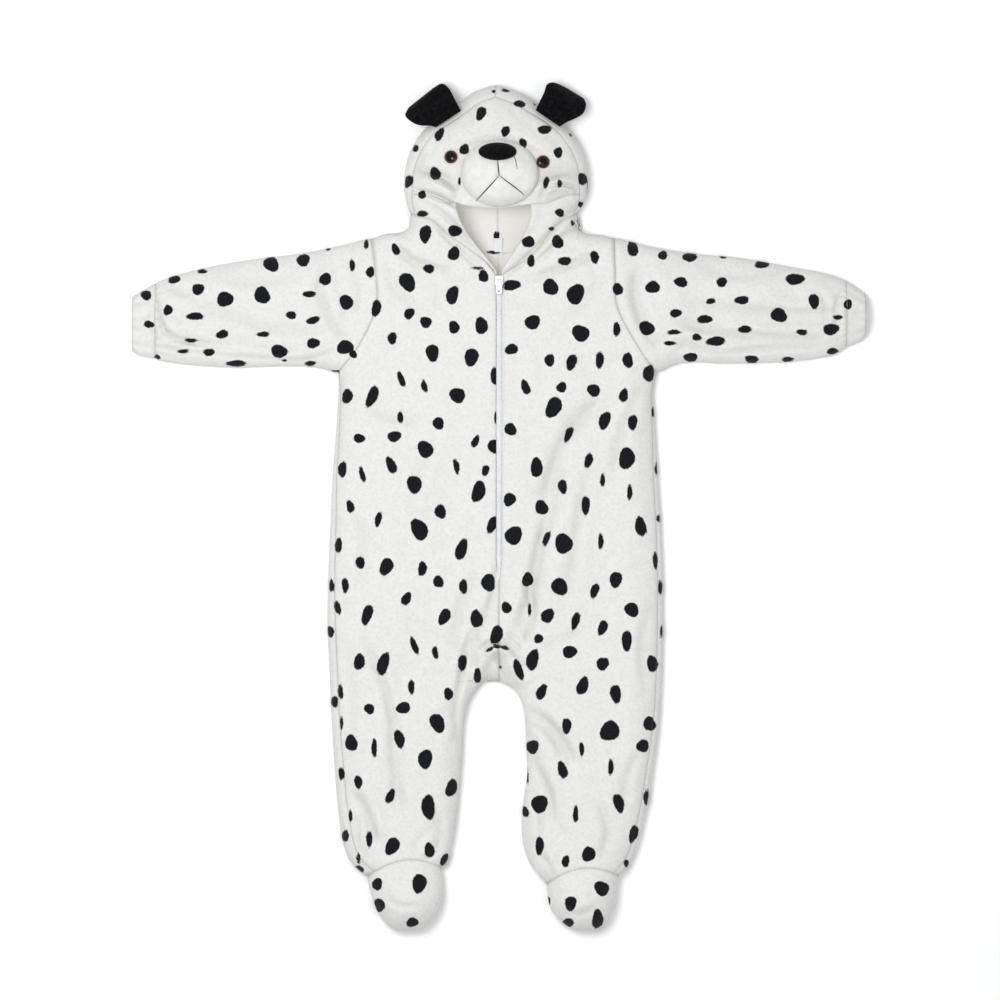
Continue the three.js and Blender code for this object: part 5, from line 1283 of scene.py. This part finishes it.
def on_muzzle(points, count, over):
    """A smooth path through plan points, laid on the muzzle and raised by over."""
    line = smooth(points)(np.linspace(0, 1, count))
    return np.column_stack([line, muzzle_height(line[:, 0], line[:, 1]) + over])[None]


# Each thread on the muzzle: its points, how many steps it has, how far it is raised, and its radius
THREADS = {
    "mouth_middle": ([(-1.5, 347), (-0.6, 338), (0.3, 330.6)], 30, 0.1, 0.6),
    "mouth_left": ([(0.3, 331.1), (-7.4, 322.4), (-15.4, 313.9), (-23.5, 305.5)], 50, 0.1, 0.6),
    "mouth_right": ([(0.3, 331.1), (8.6, 324.6), (17.4, 318.2), (25.7, 311.1)], 50, 0.1, 0.6),
    "loose_thread": ([(13.4, 353.5), (16.2, 347), (17.2, 342), (18.5, 337)], 30, 0.7, 0.3),
}
for name, (points, count, over, radius) in THREADS.items():
    add_tubes(name, on_muzzle(points, count, over), radius, "black_thread")


def add_tape(side, hand):
    """Half of the zip's tape: a strip 0.8 mm thick under the front's edge, 0.3 mm below the cloth."""
    y = np.linspace(225, -60, 150)[:, None]
    x = hand * np.linspace(0.15, 9.5, 14)[None]
    top = top_height(hand * np.maximum(np.abs(x), ZIP_HALF), y) - WALL - 0.3
    obj = add_mesh("woven_tape_" + side, stacked(x, y, (top, top - 0.8)), shell_faces(150, 14, False), {})
    finish_piece(obj, "tape", "zip_tape_" + side)


def add_coil():
    """The zip's coil: turns that cross the middle from both sides by turns, each arched as a sine. Below
    the zip's end they sink under the cloth."""
    place = np.arange(221.5, -84, -1.3)[:, None]
    step = np.linspace(0, 1, 7)[None]
    base = top_height(np.full(place.shape, ZIP_HALF), place) - WALL + 0.2
    height = base + 0.55 * np.sin(np.pi * step) - 1.6 * rising(place, -50, -84)
    turns = [
        np.stack(np.broadcast_arrays(hand * lerp(2.35, -0.5, step), place - shift, height), axis=-1)
        for hand, shift in ((-1, 0.0), (1, 0.65))
    ]
    obj = add_tubes("coil_turns", np.vstack(turns), 0.55, "coil")
    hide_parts("zip_coil")


add_tape("left", -1)
add_tape("right", 1)
add_coil()


STITCH_PITCH = 3.1
STITCH_RADIUS = 0.33


def add_stitches():
    """The row of stitches beside the zip, on a slow wave: the line is cut at even lengths, and each
    stitch fills 0.72 of its length, sunk at its ends by the square of the distance from its middle."""
    down = np.linspace(230, 54, 200)
    line = np.column_stack([5.2 + 0.25 * np.sin(down / 21), down])
    length = np.concatenate([[0], np.cumsum(np.linalg.norm(np.diff(line, axis=0), axis=1))])
    starts = np.arange(1, length[-1] - STITCH_PITCH, STITCH_PITCH)
    places = starts[:, None] + STITCH_PITCH * 0.72 * np.linspace(0, 1, 6)[None]
    plan = np.stack([np.interp(places, length, line[:, k]) for k in (0, 1)], axis=-1)
    sink = 0.5 * (np.linspace(-1, 1, 6) ** 2)[None]
    z = top_height(plan[..., 0], plan[..., 1]) + lumps(plan[..., 0], plan[..., 1]) - 0.15 - sink
    path = np.concatenate([plan, z[..., None]], axis=-1)
    add_tubes("zip_stitches", path, STITCH_RADIUS, "white_thread", 6)


add_stitches()


def add_label():
    """The blank neck label: a small strip sewn at the back neck seam, whose free end lifts as a cube."""
    x = np.linspace(-5.5, 3.5, 12)[None]
    share = np.linspace(0, 1, 18)[:, None]
    y = lerp(255.9, 269.5, share)
    z = 5.0 + 2.2 * share**3 + 0.25 * np.sin(x / 2 + 3 * share)
    obj = add_mesh("blank_label", stacked(x, y, (z, z - 0.5)), shell_faces(18, 12, False), {})
    finish_piece(obj, "tape", "neck_label")


add_label()

for node in ("zip_slider", "zip_pull"):
    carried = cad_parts[node]
    carried.data.materials.clear()
    carried.data.materials.append(materials["lacquer"])

# Floor, light and camera
floor_mesh = bpy.data.meshes.new("floor")
corners = [(-4, -4, -0.0004), (4, -4, -0.0004), (4, 4, -0.0004), (-4, 4, -0.0004)]
floor_mesh.from_pydata(corners, [], [(0, 1, 2, 3)])
floor = bpy.data.objects.new("floor", floor_mesh)
bpy.context.scene.collection.objects.link(floor)
paper = Nodes("paper")
grain = paper.noise(40, 2)
floor_mesh.materials.append(
    paper.finish(paper.mix(grain, (0.955, 0.955, 0.955), (0.97, 0.97, 0.97)), 1.0, Specular_IOR_Level=0.0)
)

world = bpy.data.worlds.new("daylight")
world.use_nodes = True
world.node_tree.nodes["Background"].inputs["Color"].default_value = (0.97, 0.985, 1.0, 1.0)
world.node_tree.nodes["Background"].inputs["Strength"].default_value = 0.56
bpy.context.scene.world = world


def add_light(name, location, target, size, energy):
    """A square area light that faces its target."""
    light = bpy.data.lights.new(name, "AREA")
    light.shape = "SQUARE"
    light.size = size
    light.energy = energy
    obj = bpy.data.objects.new(name, light)
    bpy.context.scene.collection.objects.link(obj)
    obj.location = location
    way = np.array(target) - np.array(location)
    obj.rotation_euler = (np.arctan2(np.hypot(way[0], way[1]), -way[2]), 0, np.arctan2(-way[0], way[1]))


add_light("soft_box", (-0.48, 0.3, 1.95), (0, -0.02, 0), 0.75, 23)
add_light("fill_box", (0.7, -0.5, 2.2), (0, 0, 0), 1.4, 8)

# Straight down from 16 m, with a lens that shows 1 m across, as the photo does
camera = bpy.data.objects.new("camera", bpy.data.cameras.new("camera"))
camera.data.sensor_width = 36
camera.data.lens = 576
camera.data.clip_end = 50
camera.location = (0.001, 0.008, 16.0)
bpy.context.scene.collection.objects.link(camera)
bpy.context.scene.camera = camera
bpy.context.scene.view_settings.view_transform = "Standard"
